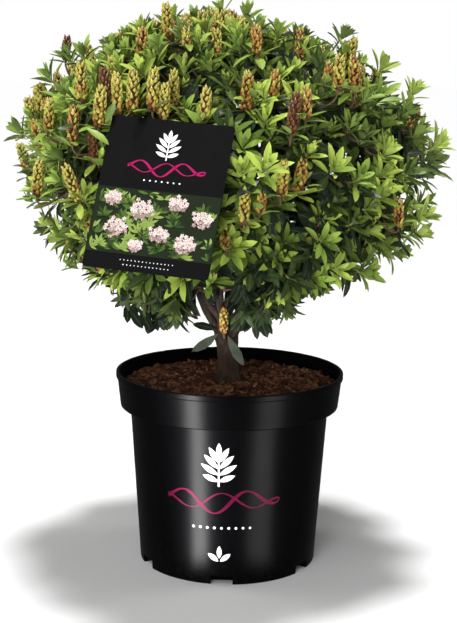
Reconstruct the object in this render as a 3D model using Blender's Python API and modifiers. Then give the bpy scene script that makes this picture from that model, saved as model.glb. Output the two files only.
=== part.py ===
"""Potted rhododendron: a short trunk, boughs and a dense rounded head of shoots in a black nursery pot.

Metres, +Z up. The origin is the middle of the pot's flat underside, and -Y is the side the plant label faces.
A bearing is an angle round the pot: 0 faces -Y and a quarter turn faces +X.
"""

import math
import random
from dataclasses import dataclass

import bmesh
import bpy
from mathutils import Matrix, Vector, noise
from mathutils.bvhtree import BVHTree

SEED = 23
CLEAR = 0.0003

# Pot
POT_HEIGHT = 0.1907
POT_WALL = 0.0017
POT_FLOOR = 0.002
POT_STEPS = 36
BASE_RADIUS = 0.0877
BODY_TOP_RADIUS, BODY_TOP = 0.0982, 0.156
SKIRT_RADIUS, SKIRT_FOOT = 0.1080, 0.157
LIP_RADIUS, LIP_DEPTH = 0.1125, 0.0055
LIP_STEP = 0.0014
POT_EDGE = 0.0008
NOTCH_COUNT = 6
NOTCH_BEARING = math.radians(-3.4)
NOTCH_WIDTH, NOTCH_HEIGHT, NOTCH_REACH = 0.021, 0.008, 0.012
NOTCH_PAST, NOTCH_BELOW = 0.010, 0.002

# Compost
COMPOST_EDGE, COMPOST_MIDDLE = 0.1765, 0.181
COMPOST_STEPS, COMPOST_RINGS = 28, 5
COMPOST_SLOPE = 1.5
COMPOST_BUMP, BUMPS_PER_METRE = 0.0022, 60
SEAT_RADIUS, LEVEL_EDGE = 0.022, 0.001

# Trunk and boughs
TRUNK_FOOT = Vector((-0.001, 0.0, COMPOST_MIDDLE + CLEAR))
TRUNK_FORK = Vector((-0.004, 0.0, 0.227))
TRUNK_HEAD = 0.013
TRUNK_MARKS = (0.0, 0.06, 0.18, 0.40, 0.70)
FLARE_RADIUS, TRUNK_RADIUS, HEAD_RADIUS = 0.0138, 0.0101, 0.0122
FLARE_SHARE = 0.14
HEAD_CLOSING = ((0.55, 0.86), (1.0, 0.42))
MAIN_BOUGH_RADIUS, MAIN_TIP_RADIUS = 0.0052, 0.0031
SIDE_BOUGH_RADIUS, SIDE_TIP_RADIUS = 0.0042, 0.0028
LEADER_RADIUS, LEADER_BEND = 0.0058, Vector((0.006, 0.004, 0))
FORK_RING, FORK_STAGGER = 0.007, 0.0028
MAIN_LIFT, SIDE_LIFT = 0.24, 0.35
MAIN_RISE, SIDE_RISE = math.radians(34), math.radians(-56)
LIMB_POINTS = 6

# Head of shoots: an egg that is rounder above its middle than below it
MIDDLE = Vector((0.0, 0.0, 0.400))
SPREAD = 0.213
RISE, RISE_POWER = 0.147, 2.0
FALL, FALL_POWER = 0.183, 1.75
UPPER_COUNT, LOWER_COUNT = 5, 7
FIRST_BEARING = math.radians(-16.0)
TOP_EDGE, BELT_EDGE, LOW_EDGE = math.radians(62), math.radians(14), math.radians(-72)

# Foliage
BOUGH_DEPTH, SIDE_DEPTH = 0.110, 0.074
CORE_TOP, CORE_BACK = 0.052, 0.096
FORK_DEPTH = 0.073
CORE_FILL, CORE_SQUARENESS = 0.95, 0.32
CORE_LOW = math.radians(-52)
CORE_CLEAR = 0.003
CORE_LEAST, CORE_STEP = 0.010, 0.08
CORE_SIDES, CORE_TIERS = 8, 6
SHOOT_COUNT = 124
SHOOT_DEPTH, SHOOT_LENGTH = 0.036, 0.031
DEPTH_SPREAD, BEARING_SPREAD, RISE_SPREAD = 0.006, 0.08, 0.06
SHOOT_LIGHT, HANGING_LIGHT, HANGING_BELOW = 0.5, -0.1, math.radians(-40)
SHOOT_SUNK, SHOOT_BEND, SHOOT_TAPER = 0.9, 0.4, 1.2
TIP_ROOM, TWIG_ROOM, TWIG_CLEAR = 0.006, 0.002, 0.003
TWIG_RADIUS, TWIG_TAPER = 0.0017, 1.25
STUB_LENGTH, STEM_TAPER = 0.004, 0.8
LEAF_TIERS, LEAVES_PER_TIER = 2, 3
LEAF_LENGTH, LEAF_WIDTH, LEAF_THICK = 0.055, 0.022, 0.0024
LEAF_BROADEST, LEAF_NECK = 0.52, 0.16
LEAF_ROOT = 0.0007
LEAF_SHORTEST, LEAF_LONGEST, LEAF_SWAY = 0.90, 1.06, 0.1
LEAF_ROOM, LEAF_CLEAR, LEAF_SUNK = 0.001, 0.0015, 0.002
LEAF_BELOW_TIP, LEAF_STEP, TIER_STEP = 0.0026, 0.0013, 0.0062
TIER_OPEN = (math.radians(36), math.radians(70))
TIER_TURN = (math.radians(25), math.radians(-30))
LEAF_TRIES = ((1.0, 0.0), (0.86, -0.2), (0.86, 0.2), (0.72, -0.3), (0.72, 0.0))
BUD_EVERY = 5
BUD_LENGTH, BUD_RADIUS, BUD_SUNK = 0.040, 0.0072, 0.04
FORK_SHARE, FORK_DRIFT = 0.55, 0.004
GOLDEN = math.pi * (3 - math.sqrt(5))

# Plant label
LABEL_WIDTH, LABEL_HEIGHT, LABEL_THICK = 0.105, 0.135, 0.0009
LABEL_CORNER = 0.003
LABEL_MIDDLE = Vector((-0.060, -0.205, 0.382))
LABEL_TURN = (math.radians(-27.5), math.radians(4.4), math.radians(-10.4))
LABEL_FRONT = 0.075
LOOP_HEIGHT, LOOP_WALL = 0.006, 0.0009
LOOP_SHARE = 0.84
LOOP_ROOM, LOOP_SLACK = 1.35, 0.0008
LOOP_POINT, LOOP_BEHIND = 0.0010, 0.0012
LOOP_UP = 0.034
LOOP_MARKS, LOOP_END = 7, 0.0035

COLOURS = {
    "pot": ((0.006, 0.006, 0.008), 0.28),
    "compost": ((0.085, 0.030, 0.013), 0.95),
    "bark": ((0.055, 0.036, 0.026), 0.85),
    "foliage": ((0.155, 0.300, 0.030), 0.50),
    "label": ((0.010, 0.010, 0.012), 0.35),
}


# Scene and mesh helpers


def clear_scene():
    for obj in list(bpy.data.objects):
        bpy.data.objects.remove(obj, do_unlink=True)


def new_collection(name):
    collection = bpy.data.collections.new(name)
    bpy.context.scene.collection.children.link(collection)
    return collection


def new_material(name):
    colour, roughness = COLOURS[name]
    material = bpy.data.materials.new(name)
    material.use_nodes = True
    shader = material.node_tree.nodes["Principled BSDF"]
    shader.inputs["Base Color"].default_value = (*colour, 1.0)
    shader.inputs["Roughness"].default_value = roughness
    shader.inputs["Metallic"].default_value = 0.0
    return material


def new_object(name, data, collection, material=None):
    obj = bpy.data.objects.new(name, data)
    collection.objects.link(obj)
    if material is not None:
        data.materials.clear()
        data.materials.append(material)
    return obj


def mesh_from(name, shape):
    mesh = bpy.data.meshes.new(name)
    shape.to_mesh(mesh)
    shape.free()
    return mesh


def settled_mesh(obj):
    """The object's mesh as its modifiers leave it, with any loose caps welded."""
    bpy.context.view_layer.update()
    graph = bpy.context.evaluated_depsgraph_get()
    mesh = bpy.data.meshes.new_from_object(obj.evaluated_get(graph), depsgraph=graph)
    shape = bmesh.new()
    shape.from_mesh(mesh)
    bmesh.ops.remove_doubles(shape, verts=shape.verts, dist=1e-7)
    bmesh.ops.recalc_face_normals(shape, faces=shape.faces)
    shape.to_mesh(mesh)
    shape.free()
    return mesh


def as_cutter(obj):
    obj.hide_render = True
    obj.display_type = "WIRE"
    return obj


def cut(obj, cutter):
    boolean = obj.modifiers.new("cut_" + cutter.name, "BOOLEAN")
    boolean.operation = "DIFFERENCE"
    boolean.solver = "EXACT"
    boolean.object = cutter


def facing(angle):
    return Vector((math.sin(angle), -math.cos(angle), 0.0))


def toward(bearing, elevation):
    return facing(bearing) * math.cos(elevation) + Vector((0, 0, math.sin(elevation)))


def bezier(start, control, end, count):
    points = []
    for i in range(count):
        t = i / (count - 1)
        points.append(start * (1 - t) ** 2 + control * 2 * t * (1 - t) + end * t**2)
    return points


def tapering(first, last, count):
    return [first + (last - first) * i / (count - 1) for i in range(count)]


def tube(name, points, radii, collection, sides=8, outline=None):
    """A round or, with an outline curve, an angular tube along the points, as a closed mesh."""
    curve = bpy.data.curves.new(name, "CURVE")
    curve.dimensions = "3D"
    curve.use_fill_caps = True
    if outline is None:
        curve.bevel_depth = 1.0
        curve.bevel_resolution = (sides - 4) // 2
    else:
        curve.bevel_mode = "OBJECT"
        curve.bevel_object = outline
    spline = curve.splines.new("POLY")
    spline.points.add(len(points) - 1)
    for point, place, radius in zip(spline.points, points, radii):
        point.co = (*place, 1.0)
        point.radius = radius
    guide = new_object(name + "_line", curve, collection)
    mesh = settled_mesh(guide)
    mesh.name = name
    bpy.data.objects.remove(guide, do_unlink=True)
    bpy.data.curves.remove(curve)
    return new_object(name, mesh, collection)


def turned(name, profile, steps, collection):
    """A profile of (radius, height) pairs, run down its outer side, turned about the Z axis."""
    mesh = bpy.data.meshes.new(name)
    edges = [(i, i + 1) for i in range(len(profile) - 1)]
    mesh.from_pydata([(r, 0, z) for r, z in profile], edges, [])
    obj = new_object(name, mesh, collection)
    screw = obj.modifiers.new("turn", "SCREW")
    screw.axis = "Z"
    screw.angle = math.tau
    screw.steps = screw.render_steps = steps
    screw.use_merge_vertices = True
    screw.merge_threshold = 0.00001
    return obj


# Pot and compost


def wall_radius(height):
    """Outer radius of the pot's tapering body at a height below its skirt."""
    return BASE_RADIUS + (BODY_TOP_RADIUS - BASE_RADIUS) * height / BODY_TOP


def make_pot(parts, cutters, material):
    inner_rim = LIP_RADIUS - LIP_STEP - POT_WALL
    lip_foot = POT_HEIGHT - LIP_DEPTH
    profile = [
        (0, POT_FLOOR),
        (wall_radius(POT_FLOOR) - POT_WALL, POT_FLOOR),
        (BODY_TOP_RADIUS - POT_WALL, BODY_TOP + POT_WALL),
        (SKIRT_RADIUS - POT_WALL, SKIRT_FOOT + POT_WALL),
        (inner_rim, POT_HEIGHT - POT_EDGE),
        (inner_rim + POT_EDGE, POT_HEIGHT),
        (LIP_RADIUS - POT_EDGE, POT_HEIGHT),
        (LIP_RADIUS, POT_HEIGHT - POT_EDGE),
        (LIP_RADIUS, lip_foot),
        (LIP_RADIUS - LIP_STEP, lip_foot - POT_EDGE),
        (SKIRT_RADIUS, SKIRT_FOOT + POT_EDGE),
        (SKIRT_RADIUS - POT_EDGE, SKIRT_FOOT),
        (BODY_TOP_RADIUS, BODY_TOP),
        (wall_radius(POT_EDGE), POT_EDGE),
        (BASE_RADIUS - POT_EDGE, 0),
        (0, 0),
    ]
    pot = turned("pot", profile, POT_STEPS, parts)
    pot.data.materials.append(material)
    for i in range(NOTCH_COUNT):
        bearing = NOTCH_BEARING + math.tau * i / NOTCH_COUNT
        shape = bmesh.new()
        bmesh.ops.create_cube(shape, size=1.0)
        notch = as_cutter(new_object(f"notch_{i + 1}", mesh_from("notch", shape), cutters))
        inner, outer = BASE_RADIUS - NOTCH_REACH, BASE_RADIUS + NOTCH_PAST
        notch.location = facing(bearing) * (inner + outer) / 2
        notch.location.z = (NOTCH_HEIGHT - NOTCH_BELOW) / 2
        notch.rotation_euler = (0, 0, bearing)
        notch.scale = (NOTCH_WIDTH, outer - inner, NOTCH_HEIGHT + NOTCH_BELOW)
        cut(pot, notch)


def make_compost(parts, material):
    floor = POT_FLOOR + CLEAR
    edge = SKIRT_RADIUS - POT_WALL
    rise = (COMPOST_EDGE - SKIRT_FOOT) / (POT_HEIGHT - SKIRT_FOOT)
    edge += (LIP_RADIUS - LIP_STEP - SKIRT_RADIUS) * rise - 2 * CLEAR
    profile = [(0, COMPOST_MIDDLE)]
    for i in range(1, COMPOST_RINGS):
        radius = SEAT_RADIUS + (edge - SEAT_RADIUS) * (i - 1) / (COMPOST_RINGS - 1)
        share = (radius - SEAT_RADIUS) / (edge - SEAT_RADIUS)
        profile.append((radius, COMPOST_MIDDLE + (COMPOST_EDGE - COMPOST_MIDDLE) * share**COMPOST_SLOPE))
    profile += [
        (edge, COMPOST_EDGE),
        (SKIRT_RADIUS - POT_WALL - 2 * CLEAR, SKIRT_FOOT + POT_WALL + 2 * CLEAR),
        (BODY_TOP_RADIUS - POT_WALL - 2 * CLEAR, BODY_TOP + POT_WALL + 2 * CLEAR),
        (wall_radius(POT_FLOOR) - POT_WALL - 2 * CLEAR, floor),
        (0, floor),
    ]
    source = turned("compost_profile", profile, COMPOST_STEPS, parts)
    mesh = settled_mesh(source)
    bpy.data.objects.remove(source, do_unlink=True)
    for vertex in mesh.vertices:
        radius = vertex.co.xy.length
        upper = vertex.co.z > COMPOST_EDGE - LEVEL_EDGE
        if upper and SEAT_RADIUS + LEVEL_EDGE < radius < edge - LEVEL_EDGE:
            vertex.co.z += COMPOST_BUMP * noise.noise(vertex.co * BUMPS_PER_METRE)
    return new_object("compost", mesh, parts, material)


# The head's outline and the room that each mass of foliage keeps to


def reach(elevation):
    """Distance from the head's middle to its outline in a direction of this elevation."""
    high, power = (RISE, RISE_POWER) if elevation > 0 else (FALL, FALL_POWER)
    flat = (math.cos(elevation) / SPREAD) ** power
    steep = (abs(math.sin(elevation)) / high) ** power
    return (flat + steep) ** (-1 / power)


def polar(point):
    """Bearing and elevation of a point seen from the head's middle, and its depth below the outline."""
    offset = point - MIDDLE
    distance = max(offset.length, 1e-9)
    elevation = math.asin(max(-1.0, min(1.0, offset.z / distance)))
    return math.atan2(offset.x, -offset.y), elevation, reach(elevation) - distance


def under(bearing, elevation, depth):
    """The point at a depth below the head's outline, measured towards its middle."""
    return MIDDLE + toward(bearing, elevation) * (reach(elevation) - depth)


@dataclass
class Space:
    """The part of the head that one mass keeps to: a wedge between two elevations."""

    name: str
    bearing: float
    half_width: float
    low: float
    high: float

    def room(self, point):
        """How far inside the wedge's sides the point is, in metres; negative outside."""
        bearing, elevation, _ = polar(point)
        distance = (point - MIDDLE).length
        turn = math.remainder(bearing - self.bearing, math.tau)
        sides = []
        if self.half_width < math.pi:
            level = distance * math.cos(elevation)
            sides.append(level * math.sin(min(self.half_width - abs(turn), math.pi / 2)))
        if self.high < math.pi / 2:
            sides.append(distance * math.sin(self.high - elevation))
        sides.append(distance * math.sin(min(elevation - self.low, math.pi / 2)))
        return min(sides)


def make_spaces():
    spaces = [Space("foliage_top", 0.0, math.pi, TOP_EDGE, math.pi / 2)]
    for i in range(UPPER_COUNT):
        bearing = FIRST_BEARING + math.tau * i / UPPER_COUNT
        half = math.pi / UPPER_COUNT
        spaces.append(Space(f"foliage_upper_{i + 1}", bearing, half, BELT_EDGE, TOP_EDGE))
    for i in range(LOWER_COUNT):
        bearing = FIRST_BEARING + math.tau * (i + 0.5) / LOWER_COUNT
        half = math.pi / LOWER_COUNT
        spaces.append(Space(f"foliage_lower_{i + 1}", bearing, half, LOW_EDGE, BELT_EDGE))
    return spaces


# Trunk and boughs


@dataclass
class Limb:
    """A bough or the label's loop: what foliage has to stay clear of."""

    points: list
    radii: list

    def distance(self, point):
        """Distance from the limb's surface to the point."""
        nearest = math.inf
        for a, b, ra, rb in zip(self.points, self.points[1:], self.radii, self.radii[1:]):
            along = b - a
            t = max(0.0, min(1.0, (point - a).dot(along) / along.length_squared))
            nearest = min(nearest, (point - a - along * t).length - ra - (rb - ra) * t)
        return nearest

    def tip(self):
        """The limb's end and the direction it grows in there."""
        return self.points[-1], (self.points[-1] - self.points[-2]).normalized()


def make_trunk(parts, cutters, material):
    """A short trunk that flares at its foot and swells where the boughs part."""
    lean = TRUNK_FORK - TRUNK_FOOT
    flare = FLARE_RADIUS - TRUNK_RADIUS
    radii = [TRUNK_RADIUS + flare * math.exp(-h / FLARE_SHARE) for h in TRUNK_MARKS]
    points = [TRUNK_FOOT + Vector((lean.x * h * h, lean.y * h * h, lean.z * h)) for h in TRUNK_MARKS]
    radii.append(HEAD_RADIUS)
    points.append(TRUNK_FORK)
    for up, share in HEAD_CLOSING:
        radii.append(HEAD_RADIUS * share)
        points.append(TRUNK_FORK + Vector((0, 0, TRUNK_HEAD * up)))
    trunk = tube("trunk", points, radii, parts, sides=12)
    trunk.data.materials.append(material)
    swollen = [radius + CLEAR for radius in radii]
    points[-1] = points[-1] + Vector((0, 0, CLEAR))
    as_cutter(tube("trunk_clearance", points, swollen, cutters, sides=12))
    return Limb(points, radii)


def bough_path(start, end, lift):
    """A limb that leaves along a low slant and turns up towards its end."""
    out = Vector((end.x - start.x, end.y - start.y, 0))
    control = start + out * (1 - lift) + Vector((0, 0, (end.z - start.z) * lift))
    return bezier(start, control, end, LIMB_POINTS)


def add_bough(name, points, radii, parts, cutters, material, clear_of):
    bough = tube(name, points, radii, parts, sides=8)
    bough.data.materials.append(material)
    for cutter in clear_of:
        cut(bough, bpy.data.objects[cutter + "_clearance"])
    swollen = [radius + CLEAR for radius in radii]
    as_cutter(tube(name + "_clearance", points, swollen, cutters, sides=8))
    return Limb(points, radii)


def make_boughs(spaces, parts, cutters, material):
    """One bough for each mass: a leader, five main boughs off the trunk's head, and side boughs off those."""
    boughs = {}
    start = TRUNK_FORK
    end = under(0, math.pi / 2, BOUGH_DEPTH)
    points = bezier(start, start.lerp(end, 0.5) + LEADER_BEND, end, LIMB_POINTS)
    radii = tapering(LEADER_RADIUS, MAIN_TIP_RADIUS, LIMB_POINTS)
    boughs["foliage_top"] = add_bough("leader", points, radii, parts, cutters, material, ["trunk"])
    mains = []
    for i, space in enumerate(spaces[1 : 1 + UPPER_COUNT]):
        start = TRUNK_FORK + facing(space.bearing) * FORK_RING
        start.z += FORK_STAGGER * (2 * i % UPPER_COUNT - 2)
        points = bough_path(start, under(space.bearing, MAIN_RISE, BOUGH_DEPTH), MAIN_LIFT)
        radii = tapering(MAIN_BOUGH_RADIUS, MAIN_TIP_RADIUS, LIMB_POINTS)
        name = f"main_bough_{i + 1}"
        limb = add_bough(name, points, radii, parts, cutters, material, ["trunk", "leader"])
        boughs[space.name] = limb
        mains.append((name, space.bearing, limb))
    for i, space in enumerate(spaces[1 + UPPER_COUNT :]):
        turns = [abs(math.remainder(space.bearing - bearing, math.tau)) for _, bearing, _ in mains]
        parent, _, carrier = mains[turns.index(min(turns))]
        start = carrier.points[1 + i % 2]
        end = under(space.bearing, SIDE_RISE, SIDE_DEPTH)
        points = bough_path(start, end, SIDE_LIFT)
        radii = tapering(SIDE_BOUGH_RADIUS, SIDE_TIP_RADIUS, LIMB_POINTS)
        name = f"side_bough_{i + 1}"
        clear_of = ["trunk", parent]
        boughs[space.name] = add_bough(name, points, radii, parts, cutters, material, clear_of)
    return boughs


# Plant label


def label_matrix():
    turn = Matrix.Rotation(LABEL_TURN[2], 4, "Z") @ Matrix.Rotation(LABEL_TURN[1], 4, "Y")
    return Matrix.Translation(LABEL_MIDDLE) @ turn @ Matrix.Rotation(LABEL_TURN[0], 4, "X")


def label_room(point):
    """How far a point is from the label and from the space in front of it."""
    local = label_matrix().inverted() @ point
    beside = max(abs(local.x) - LABEL_WIDTH / 2, abs(local.z) - LABEL_HEIGHT / 2)
    behind = local.y - LABEL_THICK / 2
    in_front = -LABEL_FRONT - local.y
    return max(beside, behind, in_front)


def outline_object(name, rings, half_depth, collection, material):
    """A flat outline in its own XY plane, holes included, given a depth."""
    curve = bpy.data.curves.new(name, "CURVE")
    curve.dimensions = "2D"
    curve.fill_mode = "BOTH"
    curve.extrude = half_depth
    for ring in rings:
        spline = curve.splines.new("POLY")
        spline.points.add(len(ring) - 1)
        spline.use_cyclic_u = True
        for point, (x, y) in zip(spline.points, ring):
            point.co = (x, y, 0, 1)
    obj = new_object(name, curve, collection)
    mesh = settled_mesh(obj)
    mesh.name = name
    bpy.data.objects.remove(obj, do_unlink=True)
    bpy.data.curves.remove(curve)
    return new_object(name, mesh, collection, material)


def rounded_rectangle(width, height, corner, steps=4):
    ring = []
    for quarter in range(4):
        sx = (1, -1, -1, 1)[quarter]
        sy = (1, 1, -1, -1)[quarter]
        middle = (sx * (width / 2 - corner), sy * (height / 2 - corner))
        for i in range(steps + 1):
            angle = math.pi / 2 * (quarter + i / steps)
            ring.append(
                (middle[0] + corner * math.cos(angle), middle[1] + corner * math.sin(angle))
            )
    return ring


def make_label(parts, material):
    ring = rounded_rectangle(LABEL_WIDTH, LABEL_HEIGHT, LABEL_CORNER)
    card = outline_object("plant_label", [ring], LABEL_THICK / 2, parts, material)
    card.matrix_world = label_matrix() @ Matrix.Rotation(math.pi / 2, 4, "X")
    return card


def teardrop(end_radius, point_radius, length, steps=10):
    """A loop's outline: a round end about the origin, narrowing to a small end at x = length."""
    touch = math.acos((end_radius - point_radius) / length)
    ring = []
    for i in range(steps + 1):
        angle = touch + (math.tau - 2 * touch) * i / steps
        ring.append((end_radius * math.cos(angle), end_radius * math.sin(angle)))
    for i in range(steps // 2 + 1):
        angle = -touch + 2 * touch * i / (steps // 2)
        ring.append((length + point_radius * math.cos(angle), point_radius * math.sin(angle)))
    return ring


def make_loop(carrier, parts, material):
    """The label's loop of plastic strip, hung round a main bough and running out to the card's back."""
    back = label_matrix() @ Vector((0.0, LABEL_THICK / 2 + LOOP_BEHIND, LOOP_UP))
    spot = min(range(len(carrier.points)), key=lambda i: abs(i / (LIMB_POINTS - 1) - LOOP_SHARE))
    hang, girth = carrier.points[spot], carrier.radii[spot]
    out = (back - hang).normalized()
    across = out.cross(Vector((0, 0, 1))).normalized()
    up = across.cross(out).normalized()
    inner = girth * LOOP_ROOM + LOOP_SLACK
    length = (back - hang).length - LOOP_WALL - LOOP_POINT
    rings = [
        teardrop(inner + LOOP_WALL, LOOP_POINT + LOOP_WALL, length),
        teardrop(inner, LOOP_POINT, length),
    ]
    loop = outline_object("label_loop", rings, LOOP_HEIGHT / 2, parts, material)
    turn = Matrix((out, -across, up)).transposed().to_4x4()
    loop.matrix_world = Matrix.Translation(hang) @ turn
    marks = [hang.lerp(back, i / (LOOP_MARKS - 1)) for i in range(LOOP_MARKS)]
    return Limb(marks, tapering(inner + LOOP_WALL, LOOP_END, LOOP_MARKS))


# Foliage


def clear_of_limbs(point, limbs, margin):
    return label_room(point) > margin and all(limb.distance(point) > margin for limb in limbs)


def core_point(space, ball):
    """Where a point of the unit ball goes in a mass's core: squared off to fill a wedge, or a round cap."""
    across, along, out = [math.copysign(abs(c) ** CORE_SQUARENESS, c) for c in ball]
    depth = (CORE_TOP + CORE_BACK) / 2 - out * (CORE_BACK - CORE_TOP) / 2
    if space.half_width == math.pi:
        off = math.hypot(ball.x, ball.y) * (math.pi / 2 - space.low) * CORE_FILL
        return under(math.atan2(ball.x, ball.y), math.pi / 2 - off, depth)
    low = max(space.low, CORE_LOW)
    elevation = (low + space.high) / 2 + along * (space.high - low) / 2 * CORE_FILL
    return under(space.bearing + across * space.half_width * CORE_FILL, elevation, depth)


def make_core(space, limbs, parts):
    """The dark heart of a mass: a cushion that follows the head's curve, drawn in where a limb is near."""
    centre = hub_of(space)
    shape = bmesh.new()
    bmesh.ops.create_uvsphere(shape, u_segments=CORE_SIDES, v_segments=CORE_TIERS, radius=1.0)
    for vertex in shape.verts:
        point = core_point(space, vertex.co)
        while not clear_of_limbs(point, limbs, CORE_CLEAR) and (point - centre).length > CORE_LEAST:
            point = point.lerp(centre, CORE_STEP)
        vertex.co = point
    bmesh.ops.recalc_face_normals(shape, faces=shape.faces)
    return new_object(space.name, mesh_from(space.name, shape), parts)


def hub_of(space):
    """The point in the middle of a mass that its twigs fork from."""
    low = max(space.low, CORE_LOW)
    middle = (low + space.high) / 2 if space.half_width < math.pi else math.pi / 2
    return under(space.bearing, middle, (CORE_TOP + CORE_BACK) / 2)


def shoot_heading(point):
    """Shoots point outwards and turn up towards the light, save for those that hang under the head."""
    bearing, elevation, _ = polar(point)
    light = SHOOT_LIGHT if elevation > HANGING_BELOW else HANGING_LIGHT
    return (toward(bearing, elevation) + Vector((0, 0, light))).normalized()


def shoot_tips(space, rng):
    """Tips spread evenly over the head by a spiral, kept where they fall in this space."""
    tips = []
    for i in range(SHOOT_COUNT):
        level = 1 - 2 * (i + 0.5) / SHOOT_COUNT
        bearing = GOLDEN * i + rng.uniform(-BEARING_SPREAD, BEARING_SPREAD)
        elevation = max(-1.5, min(1.5, math.asin(level) + rng.uniform(-RISE_SPREAD, RISE_SPREAD)))
        depth = SHOOT_DEPTH + rng.uniform(-DEPTH_SPREAD, DEPTH_SPREAD)
        point = under(bearing, elevation, depth)
        if space.room(point) > TIP_ROOM:
            tips.append(point)
    return tips


def split_tips(tips):
    """Two groups of tips, on either side of their middle along their widest spread."""
    mean = sum(tips, Vector()) / len(tips)
    far = max(tips, key=lambda tip: (tip - mean).length)
    axis = (far - mean).normalized()
    ranked = sorted(tips, key=lambda tip: (tip - mean).dot(axis))
    half = len(ranked) // 2
    return ranked[:half], ranked[half:]


def grow(start, heading, tips, twigs):
    """The branching rule: a twig forks towards two halves of its tips until one tip is left."""
    if len(tips) == 1:
        foot = tips[0] - shoot_heading(tips[0]) * SHOOT_LENGTH * SHOOT_SUNK
        control = foot - shoot_heading(tips[0]) * (foot - start).length * SHOOT_BEND
        twigs.append((bezier(start, control, foot, 3), tips[0]))
        return
    for group in split_tips(tips):
        mean = sum(group, Vector()) / len(group)
        fork = start + (mean - start) * FORK_SHARE + heading * FORK_DRIFT
        bearing, elevation, depth = polar(fork)
        fork = under(bearing, elevation, max(depth, FORK_DEPTH))
        twigs.append(([start, start.lerp(fork, 0.5) + heading * FORK_DRIFT / 2, fork], None))
        grow(fork, (fork - start).normalized(), group, twigs)


def leaf_blank():
    """A leaf of six faces along +Z from its base at the origin, one unit long, with its keel at -Y."""
    shape = bmesh.new()
    bmesh.ops.create_uvsphere(shape, u_segments=3, v_segments=2, radius=0.5)
    bmesh.ops.rotate(shape, verts=shape.verts, matrix=Matrix.Rotation(-math.pi / 2, 3, "Z"))
    edge = max(vertex.co.x for vertex in shape.verts)
    for vertex in shape.verts:
        if abs(vertex.co.z) < 0.25:
            vertex.co.x /= 2 * edge
            vertex.co.z = LEAF_BROADEST - 0.5
        vertex.co.z += 0.5
    return mesh_from("leaf_blank", shape)


def bud_blank():
    """A scaly bud as a slim spindle along +Z, one unit long and one unit in radius."""
    shape = bmesh.new()
    bmesh.ops.create_uvsphere(shape, u_segments=5, v_segments=4, radius=1.0)
    for vertex in shape.verts:
        vertex.co.z = (vertex.co.z + 1) / 2 - BUD_SUNK
    return mesh_from("bud_blank", shape)


def leaf_matrix(base, heading, axis, length, width, thick):
    normal = (axis - heading * axis.dot(heading)).normalized()
    side = normal.cross(heading)
    turn = Matrix((side, normal, heading)).transposed().to_4x4()
    size = Matrix.Diagonal((width, thick, length, 1.0))
    return Matrix.Translation(base) @ turn @ size


def faces_of(mesh, matrix):
    """The mesh's faces where the matrix puts them, ready to be tested for crossings."""
    corners = [matrix @ vertex.co for vertex in mesh.vertices]
    return BVHTree.FromPolygons(corners, [tuple(face.vertices) for face in mesh.polygons])


def blade_of(matrix):
    """The flat blade of a leaf beyond its neck: its corners, and its faces for testing."""
    marks = ((0, 0, LEAF_NECK), (0.5, 0, LEAF_BROADEST), (0, 0, 1), (-0.5, 0, LEAF_BROADEST))
    corners = [matrix @ Vector(mark) for mark in marks]
    return corners, BVHTree.FromPolygons(corners, [(0, 1, 2), (0, 2, 3)])


def leaf_fits(space, corners, blade, limbs, others):
    """Whether a leaf keeps to its space, outside the core, and clear of limbs and of earlier leaves."""
    for point in (*corners[1:], (corners[1] + corners[3]) / 2):
        _, elevation, depth = polar(point)
        if space.room(point) < LEAF_ROOM or depth < 0:
            return False
        if depth > CORE_TOP - LEAF_SUNK and elevation > CORE_LOW:
            return False
        if not clear_of_limbs(point, limbs, LEAF_CLEAR):
            return False
    return not any(blade.overlap(other) for other in others)


def shoot_blank():
    """The last stretch of a shoot as a three-sided peg along +Z that ends at the origin."""
    shape = bmesh.new()
    bmesh.ops.create_cone(
        shape,
        cap_ends=True,
        segments=3,
        radius1=TWIG_RADIUS * SHOOT_TAPER,
        radius2=TWIG_RADIUS,
        depth=SHOOT_LENGTH,
        matrix=Matrix.Translation((0, 0, -SHOOT_LENGTH / 2)),
    )
    return mesh_from("shoot_blank", shape)


def shoot_frame(tip):
    """Where a shoot's tip stands, with Z along the shoot."""
    return Matrix.Translation(tip) @ shoot_heading(tip).to_track_quat("Z", "Y").to_matrix().to_4x4()


def leaf_headings(rng):
    """Tier by tier, each leaf's turn about its shoot, how far it opens and how far down it sits."""
    for tier in range(LEAF_TIERS):
        for face in range(LEAVES_PER_TIER):
            turn = math.tau * (face + 0.5) / LEAVES_PER_TIER + TIER_TURN[tier]
            turn += rng.uniform(-LEAF_SWAY, LEAF_SWAY)
            opened = TIER_OPEN[tier] + rng.uniform(-LEAF_SWAY, LEAF_SWAY)
            yield turn, opened, LEAF_BELOW_TIP + LEAF_STEP * face + TIER_STEP * tier


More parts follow.
